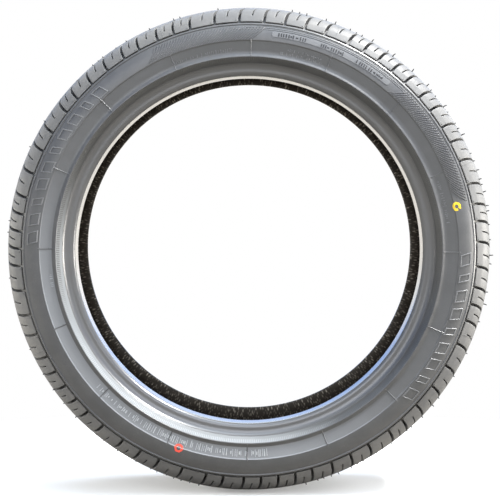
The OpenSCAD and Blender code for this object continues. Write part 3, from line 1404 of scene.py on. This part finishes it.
@dataclass
class ShoulderRing(TreadRing):
    """Shoulder blocks parted by curved slots, each block with a short sipe in its middle."""

    name: str = "shoulder"
    spread: float = 300 * MM
    bend: float = 65 * MM
    slot_w: float = 3.2 * MM
    slot_depths: Point = (2.2 * MM, 2.4 * MM)
    sipe_w: float = 1.3 * MM
    sipe_depth: float = 2.0 * MM
    row_count: int = 17
    margin: float = 2.2 * MM
    foot_depth: float = 2.8 * MM
    slot_end: float = 62 * MM
    sipe_reach: Point = (66 * MM, 93.0 * MM)
    lead: float = 5.0 * MM

    def shape(self, length: float) -> BlockShape:
        """One block with the slot at its start and the sipe in its middle.

        Args:
            length: Its length.

        Returns:
            Its plan.
        """
        section, path, middle = self.section, self.path, length / 2
        low_r, low_a = section.shoulder_low
        slot_floor = self.chord((section.crown_at(self.slot_end) - self.slot_depths[0], self.slot_end),
                                (low_r - self.slot_depths[1], low_a - 1.35 * MM))
        first, last = self.sipe_reach
        last_r = float(np.interp(last, path.line[:, 1], path.line[:, 0]))
        sipe_floor = self.chord((section.crown_at(first) - self.sipe_depth, first),
                                (last_r - self.sipe_depth, last))
        slot = Trench((-self.slot_w / 2, self.slot_w / 2),
                      (self.along_at(self.slot_end), path.length + 9 * MM), slot_floor)
        sipe = Trench((middle - self.sipe_w / 2, middle + self.sipe_w / 2),
                      (self.along_at(first), self.along_at(last)), sipe_floor)
        low = self.along_at(section.shoulder_in)
        rows = tuple(np.linspace(low + 3 * MM, path.length - 2 * MM, self.row_count))
        floor_r = section.crown_at((section.side_rib_out + section.shoulder_in) / 2) - section.groove_depth
        return BlockShape(length, low, path.length, self.margin, self.lead, rows, (slot, sipe),
                          section.crown_at(section.shoulder_in) - floor_r + 0.3 * MM, self.foot_depth)

    def slant(self, y: np.ndarray) -> np.ndarray:
        """How far the slots have bent at a distance along the section."""
        rise = np.clip(self.path.length - y, 0.0, self.bend * 0.95)
        return self.bend - np.sqrt(self.bend**2 - rise**2)


@dataclass
class RibRing(TreadRing):
    """The rib between the two grooves, with a leaning notch in its outer edge at each block."""

    name: str = "side_rib"
    spread: float = 305 * MM
    lean: float = 38.0
    notch_w: float = 2.4 * MM
    notch_depth: float = 5 * MM
    lead: float = 3.0 * MM

    def shape(self, length: float) -> BlockShape:
        """One length of the rib with its notch.

        Args:
            length: Its length.

        Returns:
            Its plan.
        """
        section, middle = self.section, length / 2
        low, high = self.along_at(section.side_rib_in), self.along_at(section.side_rib_out)
        notch = Trench((middle - self.notch_w / 2, middle + self.notch_w / 2),
                       ((low + high) / 2, high + 9 * MM), lambda y: self.notch_depth)
        inner = section.crown_at((section.middle_rib_w / 2 + section.side_rib_in) / 2)
        outer = section.crown_at((section.side_rib_out + section.shoulder_in) / 2)
        spare = section.groove_depth + 0.3 * MM
        return BlockShape(length, low, high, 2.0 * MM, self.lead, (low + 6 * MM, high - 6 * MM), (notch,),
                          section.crown_at(section.side_rib_in) - inner + spare,
                          section.crown_at(section.side_rib_out) - outer + spare)

    def slant(self, y: np.ndarray) -> np.ndarray:
        """How far the notches have moved back at a distance along the section."""
        high = self.along_at(self.section.side_rib_out)
        return math.tan(math.radians(self.lean)) * (high - y)


def even(size: float, step: float) -> list[float]:
    """Places that part a length into equal stretches of at most one step; none for a step of 0."""
    parts = math.ceil(size / step) if step > 0 else 1
    return [-size / 2 + size * i / parts for i in range(1, parts)]


def bar(size: Triple, bevel: float, bends: Point = (0.0, 0.0), corner: float = 0.0) -> Form:
    """A raised bar or plate that reaches a little into the rubber under it.

    Args:
        size: Length round the tyre, width across its surface and height.
        bevel: Width of the bevel round its top.
        bends: Longest stretch between two places where it can bend, round the tyre and across; 0 for none.
        corner: Radius of its upright corners; 0 for sharp ones.

    Returns:
        The bar, with its middle at the origin.
    """
    length, width, height = size
    thing = blank((length, width, height + ROOTED), (0.0, 0.0, (height - ROOTED) / 2))
    if corner > 0:
        pick(thing, Pick.EDGE, lambda e: abs(e.verts[0].co.z - e.verts[1].co.z) > ROOTED)
        bevel_edges(corner, 4)
    pick(thing, Pick.EDGE, lambda e: all(v.co.z > height - SAME for v in e.verts))
    bevel_edges(bevel)
    cut_across(0, even(length, bends[0]))
    cut_across(1, even(width, bends[1]))
    return take_form(thing)


def frame_form(length: float, width: float, rim: float, height: float, bend: float) -> Form:
    """A raised open frame.

    Args:
        length: Size round the tyre.
        width: Size across its surface.
        rim: Width of the frame's bars.
        height: How far it stands out.
        bend: Longest stretch between two places where it can bend.

    Returns:
        The frame, with its middle at the origin.
    """
    x, y = length / 2 - rim, width / 2 - rim
    thing = blank((length, width, 0.0), (0.0, 0.0, -ROOTED))
    cut_across(0, [-x, x, *even(length, bend)])
    cut_across(1, [-y, y, *even(width, bend)])

    def is_open(face: bmesh.types.BMFace) -> bool:
        """Whether a face lies in the frame's opening."""
        middle = face.calc_center_median()
        return abs(middle.x) < x and abs(middle.y) < y

    def is_top(edge: bmesh.types.BMEdge) -> bool:
        """Whether an edge lies between the frame's top and a wall."""
        return all(v.co.z > 0 for v in edge.verts) and any(is_upright(f) for f in edge.link_faces)

    pick(thing, Pick.FACE, is_open)
    bpy.ops.mesh.delete(type="FACE")
    bpy.ops.mesh.select_all(action="SELECT")
    extrude(height + ROOTED)
    pick(thing, Pick.EDGE, is_top)
    bevel_edges(min(height, rim) * 0.4)
    turn_outwards()
    return take_form(thing)


def pip_form(radius: float, height: float) -> Form:
    """A small round pip with a bevelled top.

    Args:
        radius: Its radius.
        height: How far it stands out.

    Returns:
        The pip, with its middle at the origin.
    """
    bpy.ops.mesh.primitive_cylinder_add(vertices=8, radius=radius, depth=2 * height)
    thing = bpy.context.object
    edit(thing)
    pick(thing, Pick.EDGE, lambda e: all(v.co.z > height / 2 for v in e.verts))
    bevel_edges(min(radius, height) * 0.4)
    return take_form(thing)


def whisker_form(height: float, lean: Point) -> Form:
    """A thin rubber whisker that stands out of the tread and bends over.

    Args:
        height: Its length.
        lean: How far its tip has bent, round the tyre and across.

    Returns:
        The whisker, with its foot at the origin.
    """
    bpy.ops.mesh.primitive_cone_add(vertices=6, radius1=0.85 * MM, radius2=0.55 * MM, depth=height,
                                    location=(0, 0, height / 2 - 0.3 * MM))
    thing = bpy.context.object
    bpy.ops.object.transform_apply(location=True, rotation=False, scale=False)
    edit(thing)
    cut_across(2, [height * share for share in (0.2, 0.4, 0.6, 0.8)])
    mesh = bmesh.from_edit_mesh(thing.data)
    for vertex in mesh.verts:
        share = max(0.0, vertex.co.z / height) ** 2
        vertex.co.x += lean[0] * share
        vertex.co.y += lean[1] * share
        vertex.co.z *= 1 - 0.25 * share
    bmesh.update_edit_mesh(thing.data)
    return take_form(thing)


def ring_form(outer: float, inner: float, height: float, wobble: float, gap: Point, seed: int) -> Form:
    """A stamped ring of paint with an uneven edge.

    Args:
        outer: Its outer radius.
        inner: Its inner radius.
        height: Thickness of the film.
        wobble: How uneven its edges are, as a share of their radius.
        gap: First and last angle of the part that is missing, in degrees; equal for none.
        seed: Seed of the unevenness.

    Returns:
        The ring, with its middle at the origin.
    """
    chance = random.Random(seed)
    bpy.ops.mesh.primitive_circle_add(vertices=48, radius=outer)
    thing = bpy.context.object
    edit(thing)
    bpy.ops.mesh.select_mode(type="EDGE")
    bpy.ops.mesh.select_all(action="SELECT")
    rings = 6
    radii = [outer + (inner - outer) * i / rings for i in range(rings + 1)]
    for before, after in zip(radii, radii[1:]):
        bpy.ops.mesh.extrude_region_move()
        bpy.ops.transform.resize(value=(after / before, after / before, 1.0))

    def in_gap(face: bmesh.types.BMFace) -> bool:
        """Whether a face lies in the part that is missing."""
        middle = face.calc_center_median()
        return gap[0] < math.degrees(math.atan2(middle.y, middle.x)) % 360 < gap[1]

    if pick(thing, Pick.FACE, in_gap):
        bpy.ops.mesh.delete(type="FACE")
    mesh = bmesh.from_edit_mesh(thing.data)
    for vertex in mesh.verts:
        vertex.co *= 1 + wobble * (chance.random() - 0.5)
    bmesh.update_edit_mesh(thing.data)
    bpy.ops.mesh.select_all(action="SELECT")
    extrude(height)
    turn_outwards()
    return take_form(thing)


@dataclass(frozen=True)
class Arc:
    """A stretch round the sidewall: its first and last angle in degrees, and its inner and outer radius."""

    start: float
    end: float
    low: float
    high: float

    @property
    def middle(self) -> float:
        """Its middle angle in radians."""
        return math.radians((self.start + self.end) / 2)

    @property
    def height(self) -> float:
        """Its size from the inner to the outer radius."""
        return self.high - self.low

    @property
    def radius(self) -> float:
        """Its middle radius."""
        return (self.high + self.low) / 2

    @property
    def length(self) -> float:
        """Its length at the middle radius."""
        return math.radians(self.end - self.start) * self.radius


@dataclass
class SidewallMarks:
    """All that stands out on a sidewall: vent lines, hatching, a long plate, fine lines and plain marks.

    The plain marks stand where a maker puts lettering.
    """

    section: Section
    vent_low: float = 243.0 * MM
    vent_high: float = 264.6 * MM
    vent_count: int = 16
    vent_first: float = 22.0
    pip_r: float = 262.0 * MM
    low_pip_r: float = 250.5 * MM
    pip_turn: float = 0.004
    more_pips: tuple[int, ...] = (3, 13)
    hatching: tuple[Arc, ...] = (Arc(13, 49, 262.5 * MM, 279.5 * MM), Arc(86, 116, 262.5 * MM, 279.5 * MM))
    hatch_step: float = 0.78
    hatch_lean: float = 9.0 * MM
    plate_margin: float = 5.0
    plate: Arc = Arc(50.0, 84.0, 267.9 * MM, 274.8 * MM)
    bar_groups: tuple[Point, ...] = ((52.5, 60.5), (64.5, 71.0), (75.0, 82.5))
    fine_lines: Arc = Arc(20, 94, 276.3 * MM, 280.6 * MM)
    frames: tuple[tuple[Arc, int, float], ...] = (
        (Arc(316.0, 360.0, 264.5 * MM, 278.0 * MM), 9, 0.6 * MM),
        (Arc(131.0, 179.0, 264.6 * MM, 277.6 * MM), 10, 0.9 * MM),
    )
    frame_lean: float = 0.32
    ticks: tuple[Arc, ...] = (
        Arc(232, 275.5, 249.5 * MM, 258.5 * MM),
        Arc(222, 232, 251.0 * MM, 257.0 * MM),
        Arc(8, 20, 248.5 * MM, 253.0 * MM),
        Arc(69, 81, 247.5 * MM, 251.0 * MM),
        Arc(69.5, 80, 252.5 * MM, 256.0 * MM),
        Arc(95, 113, 248.5 * MM, 253.0 * MM),
        Arc(187, 191, 248.0 * MM, 251.5 * MM),
    )
    knurl_count: int = 640
    knurl_share: float = 0.58

    def __post_init__(self) -> None:
        """Measures the sidewall's section and the rim guard's slope."""
        self.wall = SurfacePath(self.section.sidewall(plain=True))
        self.lined_wall = SurfacePath(self.section.sidewall())
        self.slope = SurfacePath(list(np.linspace(self.section.bead()[0], self.section.lip_top, 9)))

    def build(self, side: Side) -> list[bpy.types.Object]:
        """Makes the marks of one side.

        Args:
            side: Side of the tyre.

        Returns:
            The fine lines, the raised plates, the rim guard's ribs, the bars on the long plate and the
            rows of fine ticks.
        """
        tag = side.name.lower()
        lines = Patchwork(f"sidewall_lines_{tag}", SIDEWALL, side)
        raised = Patchwork(f"sidewall_plates_{tag}", RAISED_PAINTED_HIGHLIGHT, side)
        knurl = Patchwork(f"guard_ribs_{tag}", KNURL, side)
        bars = Patchwork(f"plate_print_{tag}", PRINT_PAINTED_SHADE, side)
        fine = Patchwork(f"fine_print_{tag}", FINE_PRINT_PAINTED_HIGHLIGHT, side)
        self.vents(lines)
        self.hatches(lines)
        self.small_print(fine)
        self.lines_round(lines)
        self.long_plate(raised, bars)
        self.large_marks(raised)
        self.ribs(knurl)
        return [piece.build(30.0) for piece in (lines, raised, knurl, bars, fine)]

    def at(self, radius: float) -> float:
        """Distance along the sidewall's section at a radius."""
        return float(self.wall.at_radius(np.array(radius)))

    def between(self, place: Arc) -> Point:
        """Middle and width of a stretch, along the sidewall's section."""
        first, last = self.at(place.high), self.at(place.low)
        return (first + last) / 2, last - first

    def vents(self, lines: Patchwork) -> None:
        """Thin raised lines that run outwards, some with a small pip.

        Args:
            lines: Piece that they go into.
        """
        middle, width = self.between(Arc(0, 0, self.vent_low, self.vent_high))
        line = bar((1.5 * MM, width, 0.48 * MM), bevel=0.35 * MM, bends=(0.0, 2.5 * MM))
        pip = pip_form(radius=1.0 * MM, height=0.7 * MM)
        low_pip = pip_form(radius=0.6 * MM, height=0.5 * MM)
        for index in range(self.vent_count):
            angle = math.radians(self.vent_first + 360 * index / self.vent_count)
            lines.lay(line, self.wall, angle, middle)
            if index % 2 == 0 or index in self.more_pips:
                lines.lay(pip, self.wall, angle + self.pip_turn, self.at(self.pip_r))
            lines.lay(low_pip, self.wall, angle - self.pip_turn, self.at(self.low_pip_r))

    def hatches(self, lines: Patchwork) -> None:
        """Bands of fine leaning lines under the shoulder.

        Args:
            lines: Piece that they go into.
        """
        for band in self.hatching:
            middle, width = self.between(band)
            stroke = bar((1.4 * MM, width, 0.8 * MM), bevel=0.4 * MM, bends=(0.0, 2.2 * MM))
            top = middle - width / 2

            def slant(y: np.ndarray, top: float = top, width: float = width) -> np.ndarray:
                """The strokes lean more and more towards their lower end."""
                share = (y - top) / width
                return -self.hatch_lean * (share + share**2)

            for index in range(round((band.end - band.start) / self.hatch_step)):
                angle = math.radians(band.start + index * self.hatch_step)
                if not self.covered(math.degrees(angle)):
                    lines.lay(stroke, self.wall, angle, middle, slant=slant)

    def covered(self, degrees: float) -> bool:
        """Whether the long plate lies at an angle."""
        return self.plate.start - self.plate_margin < degrees < self.plate.end

    def small_print(self, fine: Patchwork) -> None:
        """Rows of fine ticks of uneven width, in groups.

        Args:
            fine: Piece that they go into.
        """
        chance = random.Random(11)
        for row in self.ticks:
            middle, width = self.between(row)
            forms = [bar((w * MM, width * h, 0.38 * MM), bevel=0.16 * MM, bends=(0.0, 3.0 * MM))
                     for w, h in ((0.7, 1.0), (0.7, 0.7), (1.1, 1.0), (1.5, 0.45))]
            angle = math.radians(row.start)
            while angle < math.radians(row.end):
                form = chance.choice(forms)
                shift = (chance.random() - 0.5) * 0.2 * width
                fine.lay(form, self.wall, angle, middle + shift * 0.5)
                step = chance.choice((1.9, 2.3, 2.7, 3.1, 5.5))
                angle += step * MM / row.radius

    def lines_round(self, lines: Patchwork) -> None:
        """Fine lines that run round the sidewall over the long plate.

        Args:
            lines: Piece that they go into.
        """
        place = self.fine_lines
        for index in range(3):
            radius = place.low + place.height * index / 2
            length = math.radians(place.end - place.start - 6 * index) * radius
            line = bar((length, 0.8 * MM, 0.36 * MM), bevel=0.2 * MM, bends=(5 * MM, 0.0))
            lines.lay(line, self.wall, place.middle, self.at(radius), radius)

    def long_plate(self, raised: Patchwork, bars: Patchwork) -> None:
        """The long low plate with round ends and groups of short bars on it.

        Args:
            raised: Piece that the plate goes into.
            bars: Piece that the bars go into.
        """
        middle, width = self.between(self.plate)
        plate = bar((self.plate.length, width, 0.45 * MM), bevel=0.2 * MM, bends=(4 * MM, 2 * MM),
                    corner=3.2 * MM)
        raised.lay(plate, self.wall, self.plate.middle, middle, self.plate.radius)
        stroke, dash = (bar((w * MM, width * share, 1.0 * MM), bevel=0.2 * MM)
                        for w, share in ((1.5, 0.6), (2.8, 0.2)))
        chance = random.Random(5)
        for angle, end in self.bar_groups:
            while angle < end:
                form = chance.choice((stroke, stroke, dash))
                bars.lay(form, self.wall, math.radians(angle), middle)
                angle += chance.choice((0.6, 0.7, 0.95))

    def large_marks(self, raised: Patchwork) -> None:
        """Plain leaning frames, by turns wide and narrow.

        Args:
            raised: Piece that they go into.
        """
        for place, count, height in self.frames:
            middle, width = self.between(place)
            step = math.radians(place.end - place.start) / count
            wide, narrow = (frame_form(step * place.radius * share, width, rim=1.5 * MM, height=height,
                                       bend=2.5 * MM)
                            for share in (0.66, 0.42))
            for index in range(count):
                angle = math.radians(place.start) + step * (index + 0.5)
                raised.lay(narrow if index % 3 == 1 else wide, self.wall, angle, middle,
                           slant=lambda y, middle=middle: self.frame_lean * (y - middle))

    def ribs(self, knurl: Patchwork) -> None:
        """Fine ribs that run inwards on the rim guard's slope.

        Args:
            knurl: Piece that they go into.
        """
        width = self.slope.length * self.knurl_share
        rib = bar((1.15 * MM, width, 0.12 * MM), bevel=0.1 * MM)
        for index in range(self.knurl_count):
            angle = FULL_TURN * index / self.knurl_count
            knurl.lay(rib, self.slope, angle, 0.7 * MM + width / 2)


@dataclass
class TreadDress:
    """Moulding marks on the tread: pips, joints between mould segments and rubber whiskers."""

    ring: ShoulderRing
    joints: tuple[float, ...] = (21.6, 67.9, 111.9, 158.3, 206.0, 249.8, 293.3, 338.5)
    seed: int = 3
    pip_turn: float = 4.2 * MM
    pip_rise: float = 2.4 * MM
    joint_length: float = 22 * MM
    joint_rise: float = 1 * MM
    shares: tuple[float, ...] = (0.10, 0.44, 0.80)
    ground: float = math.radians(270)
    ground_half: float = 0.2
    long_at: float = math.radians(25)
    heights: Triple = (1.5, 1.5, 5.0)

    def build(self, side: Side) -> list[bpy.types.Object]:
        """Makes the marks of one side.

        Args:
            side: Side of the tyre.

        Returns:
            The pips with the joint lines, and the whiskers.
        """
        tag = side.name.lower()
        marks = Patchwork(f"mould_marks_{tag}", TREAD, side)
        hairs = Patchwork(f"whiskers_{tag}", WHISKER_PAINTED_SHADE, side)
        self.pips(marks)
        self.joint_lines(marks)
        self.whiskers(hairs)
        return [marks.build(40.0), hairs.build(40.0)]

    def pips(self, marks: Patchwork) -> None:
        """A small pip at the lower corner of each shoulder block.

        Args:
            marks: Piece that they go into.
        """
        pip = pip_form(radius=0.85 * MM, height=0.6 * MM)
        for angle, _ in self.ring.pitch.starts():
            marks.lay(pip, self.ring.path, angle + self.pip_turn / self.ring.spread,
                      self.ring.path.length - self.pip_rise, self.ring.spread)

    def joint_lines(self, marks: Patchwork) -> None:
        """Fine lines across the shoulder where two mould segments met.

        Args:
            marks: Piece that they go into.
        """
        length = self.joint_length
        line = bar((0.55 * MM, length, 0.25 * MM), bevel=0.15 * MM, bends=(0.0, 2 * MM))
        for degrees in self.joints:
            marks.lay(line, self.ring.path, math.radians(degrees),
                      self.ring.path.length - length / 2 - self.joint_rise)

    def whiskers(self, hairs: Patchwork) -> None:
        """Rubber whiskers on the shoulder blocks, longer and denser at the upper right.

        Args:
            hairs: Piece that they go into.
        """
        chance = random.Random(self.seed + hairs.side.value)
        least, spare, most = self.heights
        for angle, kind in self.ring.pitch.starts():
            span = self.ring.pitch.short * self.ring.pitch.share(kind)
            for share in self.shares:
                place = angle + span * (share + 0.1 * (chance.random() - 0.5))
                fresh = 0.5 + 0.5 * math.cos(place - self.long_at)
                on_ground = abs(place % FULL_TURN - self.ground) < self.ground_half
                if chance.random() > 0.3 + 0.35 * fresh or on_ground:
                    continue
                height = (least + spare * chance.random() + most * fresh**2 * chance.random()) * MM
                lean = ((chance.random() - 0.6) * height * 0.35, (chance.random() - 0.5) * height * 0.3)
                hairs.lay(whisker_form(height, lean), self.ring.path, place,
                          self.ring.along_at((67 + 14 * chance.random()) * MM))


@dataclass(frozen=True)
class PaintMark:
    """A ring of paint stamped on the sidewall."""

    name: str
    finish: PaintFinish
    degrees: float
    radius: float
    outer: float
    inner: float
    wobble: float
    gap: Point
    seed: int
    film: float = 0.12 * MM
    lift: float = 0.04 * MM

    def build(self, marks: SidewallMarks) -> bpy.types.Object:
        """Lays the ring on the front sidewall.

        Args:
            marks: The sidewall that it lies on.

        Returns:
            The ring.
        """
        form = ring_form(self.outer, self.inner, self.film, self.wobble, self.gap, self.seed)
        lifted = Form(form.points + np.array([0, 0, self.lift]), form.faces)
        wall, paint = marks.lined_wall, Patchwork(self.name, self.finish)
        along = float(wall.at_radius(np.array(self.radius)))
        paint.lay(lifted, wall, math.radians(self.degrees), along)
        return paint.build()


PAINT = (
    PaintMark("yellow_ring", YELLOW, 12.0, 265.0 * MM, 5.6 * MM, 2.4 * MM, 0.14, (196.0, 222.0), 4),
    PaintMark("red_ring", RED, 250.4, 262.6 * MM, 5.6 * MM, 2.9 * MM, 0.08, (0.0, 0.0), 9),
)


@dataclass(frozen=True)
class Lamp:
    """A soft rectangular lamp that points at the tyre."""

    name: str
    place: Triple
    size: Point
    power: float
    colour: Triple
    mirrored: bool = True

    def build(self) -> bpy.types.Object:
        """Places the lamp.

        Returns:
            The lamp.
        """
        light = bpy.data.lights.new(self.name, "AREA")
        light.shape = "RECTANGLE"
        light.size, light.size_y = self.size
        light.energy = self.power
        light.color = self.colour
        lamp = bpy.data.objects.new(self.name, light)
        lamp.location = self.place
        lamp.visible_glossy = self.mirrored
        lamp.rotation_euler = (-Vector(self.place)).to_track_quat("-Z", "Y").to_euler()
        bpy.context.scene.collection.objects.link(lamp)
        return lamp


@dataclass(frozen=True)
class Studio:
    """The pale floor, the white surroundings, the lamps and the camera."""

    floor_z: float = -0.309
    camera_place: Triple = (0.0, -2.445, 0.071)
    look_at: Triple = (0.0013, 0.0, -0.0024)
    lens: float = 134.8
    lamps: tuple[Lamp, ...] = (
        Lamp("sun", (1.62, -0.36, 2.48), (0.35, 0.35), 284.0, (1.0, 0.99, 0.97)),
        Lamp("front", (-0.3, -3.2, 1.3), (3.0, 2.0), 76.0, (0.97, 0.985, 1.0)),
        Lamp("sky_front", (0.5, -1.4, 2.7), (2.2, 1.6), 52.0, (0.74, 0.86, 1.0)),
        Lamp("sky_right", (2.55, 1.75, 1.05), (2.8, 2.8), 105.0, (0.98, 0.99, 1.0), False),
        Lamp("sky_back", (-0.5, 1.4, 2.8), (2.0, 1.4), 62.0, (0.60, 0.76, 1.0), False),
        Lamp("left", (-2.7, 0.25, 0.2), (1.8, 1.0), 130.0, (1.0, 0.965, 0.89), False),
        Lamp("right", (2.6, -0.15, -0.02), (1.4, 0.5), 112.0, (1.0, 0.965, 0.90)),
    )
    sky: tuple[tuple[float, Triple], ...] = (
        (0.50, (1.0, 0.97, 0.91)), (0.56, (0.94, 0.96, 1.0)), (0.66, (0.30, 0.50, 1.0)),
        (0.84, (0.34, 0.54, 1.0)), (0.95, (0.70, 0.84, 1.0)),
    )
    fill: Triple = (0.93, 0.96, 1.0)
    fill_strength: float = 0.34
    white: Triple = (1.0, 1.0, 1.0)
    clear_r: float = 0.40
    white_r: float = 0.80

    def build(self) -> None:
        """Builds everything round the tyre."""
        scene = bpy.context.scene
        scene.view_settings.view_transform = "Standard"
        scene.world = self.surroundings()
        self.floor()
        for lamp in self.lamps:
            lamp.build()
        camera = bpy.data.objects.new("camera", bpy.data.cameras.new("camera"))
        camera.data.lens = self.lens
        camera.data.sensor_width = 36.0
        camera.data.clip_end = 100.0
        camera.location = self.camera_place
        way = Vector(self.look_at) - Vector(self.camera_place)
        camera.rotation_euler = way.to_track_quat("-Z", "Y").to_euler()
        scene.collection.objects.link(camera)
        scene.camera = camera

    def surroundings(self) -> bpy.types.World:
        """White to the camera, a pale sky in reflections, and a plain soft fill otherwise.

        Returns:
            The surroundings.
        """
        world = bpy.data.worlds.new("surroundings")
        world.use_nodes = True
        graph = Graph(world.node_tree, "OutputWorld")
        split = graph.add("SeparateXYZ", {"Vector": graph.place["Generated"]})
        height = graph.math("MULTIPLY_ADD", split.outputs["Z"], 0.5, 0.5)
        sky = graph.add("ValToRGB", {"Fac": height})
        stops = sky.color_ramp.elements
        stops.remove(stops[1])
        stops[0].position = self.sky[0][0]
        for place, _ in self.sky[1:]:
            stops.new(place)
        for stop, (_, colour) in zip(stops, self.sky):
            stop.color = rgba(colour)
        fill, white, mirrored = (
            graph.add("Background", {"Color": rgba(colour), "Strength": strength}).outputs["Background"]
            for colour, strength in ((self.fill, self.fill_strength), (self.white, 1.0),
                                     (sky.outputs["Color"], 1.0)))
        rays = graph.add("LightPath").outputs
        last = fill
        for kind, shown in (("Is Glossy Ray", mirrored), ("Is Camera Ray", white),
                            ("Is Transmission Ray", white)):
            last = graph.mix_shaders(rays[kind], last, shown)
        graph.feed(graph.out, "Surface", last)
        return world

    def floor(self) -> bpy.types.Object:
        """A pale floor that fades into the white surroundings.

        Returns:
            The floor.
        """
        clear_selection()
        bpy.ops.mesh.primitive_plane_add(size=30.0, location=(0, 0, self.floor_z))
        floor = bpy.context.object
        floor.name = "floor"
        graph = Coat("pale_floor")
        rays = graph.add("LightPath").outputs
        seen = rays["Is Camera Ray"]
        pale = graph.mix(graph.noise(6.0, 3.0), (0.66, 0.67, 0.67), (0.70, 0.70, 0.70))
        graph.finish({"Base Color": graph.mix(seen, (0.19, 0.175, 0.15), pale), "Roughness": 0.9})
        matt = graph.shader.outputs["BSDF"]
        lift = graph.add("Emission", {"Strength": 0.22}).outputs["Emission"]
        lifted = graph.add("AddShader", {0: matt, 1: lift}).outputs["Shader"]
        reach = graph.add("VectorMath", {0: graph.place["Object"]}, operation="LENGTH")
        far = graph.ramp(reach.outputs["Value"], (self.clear_r, 0.0), (self.white_r, 1.0))
        share = graph.math("MULTIPLY", far, graph.math("MAXIMUM", seen, rays["Is Glossy Ray"]))
        glow = graph.add("Emission", {"Color": graph.mix(seen, (1.0, 0.96, 0.90), self.white)})
        close = graph.mix_shaders(seen, matt, lifted)
        graph.feed(graph.out, "Surface", graph.mix_shaders(share, close, glow.outputs["Emission"]))
        floor.data.materials.append(graph.material)
        floor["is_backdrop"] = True
        return floor


def main() -> None:
    """Builds the tyre and its surroundings."""
    logging.basicConfig(level=logging.INFO, format="%(message)s")
    at_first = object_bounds()
    section = Section()
    pitch = Pitch()
    shoulder, ribs, marks = ShoulderRing(section, pitch), RibRing(section, pitch), SidewallMarks(section)
    pieces = [Carcass(section).build()]
    for side in Side:
        pieces += [shoulder.build(side), ribs.build(side)]
        pieces += marks.build(side)
        pieces += TreadDress(shoulder).build(side)
    pieces += [mark.build(marks) for mark in PAINT]
    for piece in pieces:
        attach(piece, BODY)
        LOG.info("%s: %d faces", piece.name, len(piece.data.polygons))
    Studio().build()
    {"cad": plain(at_first), "scene": plain(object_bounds())}


def plain(corners: Sequence[Sequence[float]]) -> list[list[float]]:
    """Corners of a box as lists of numbers."""
    return [[float(value) for value in corner] for corner in corners]


if __name__ == "__main__":
    main()
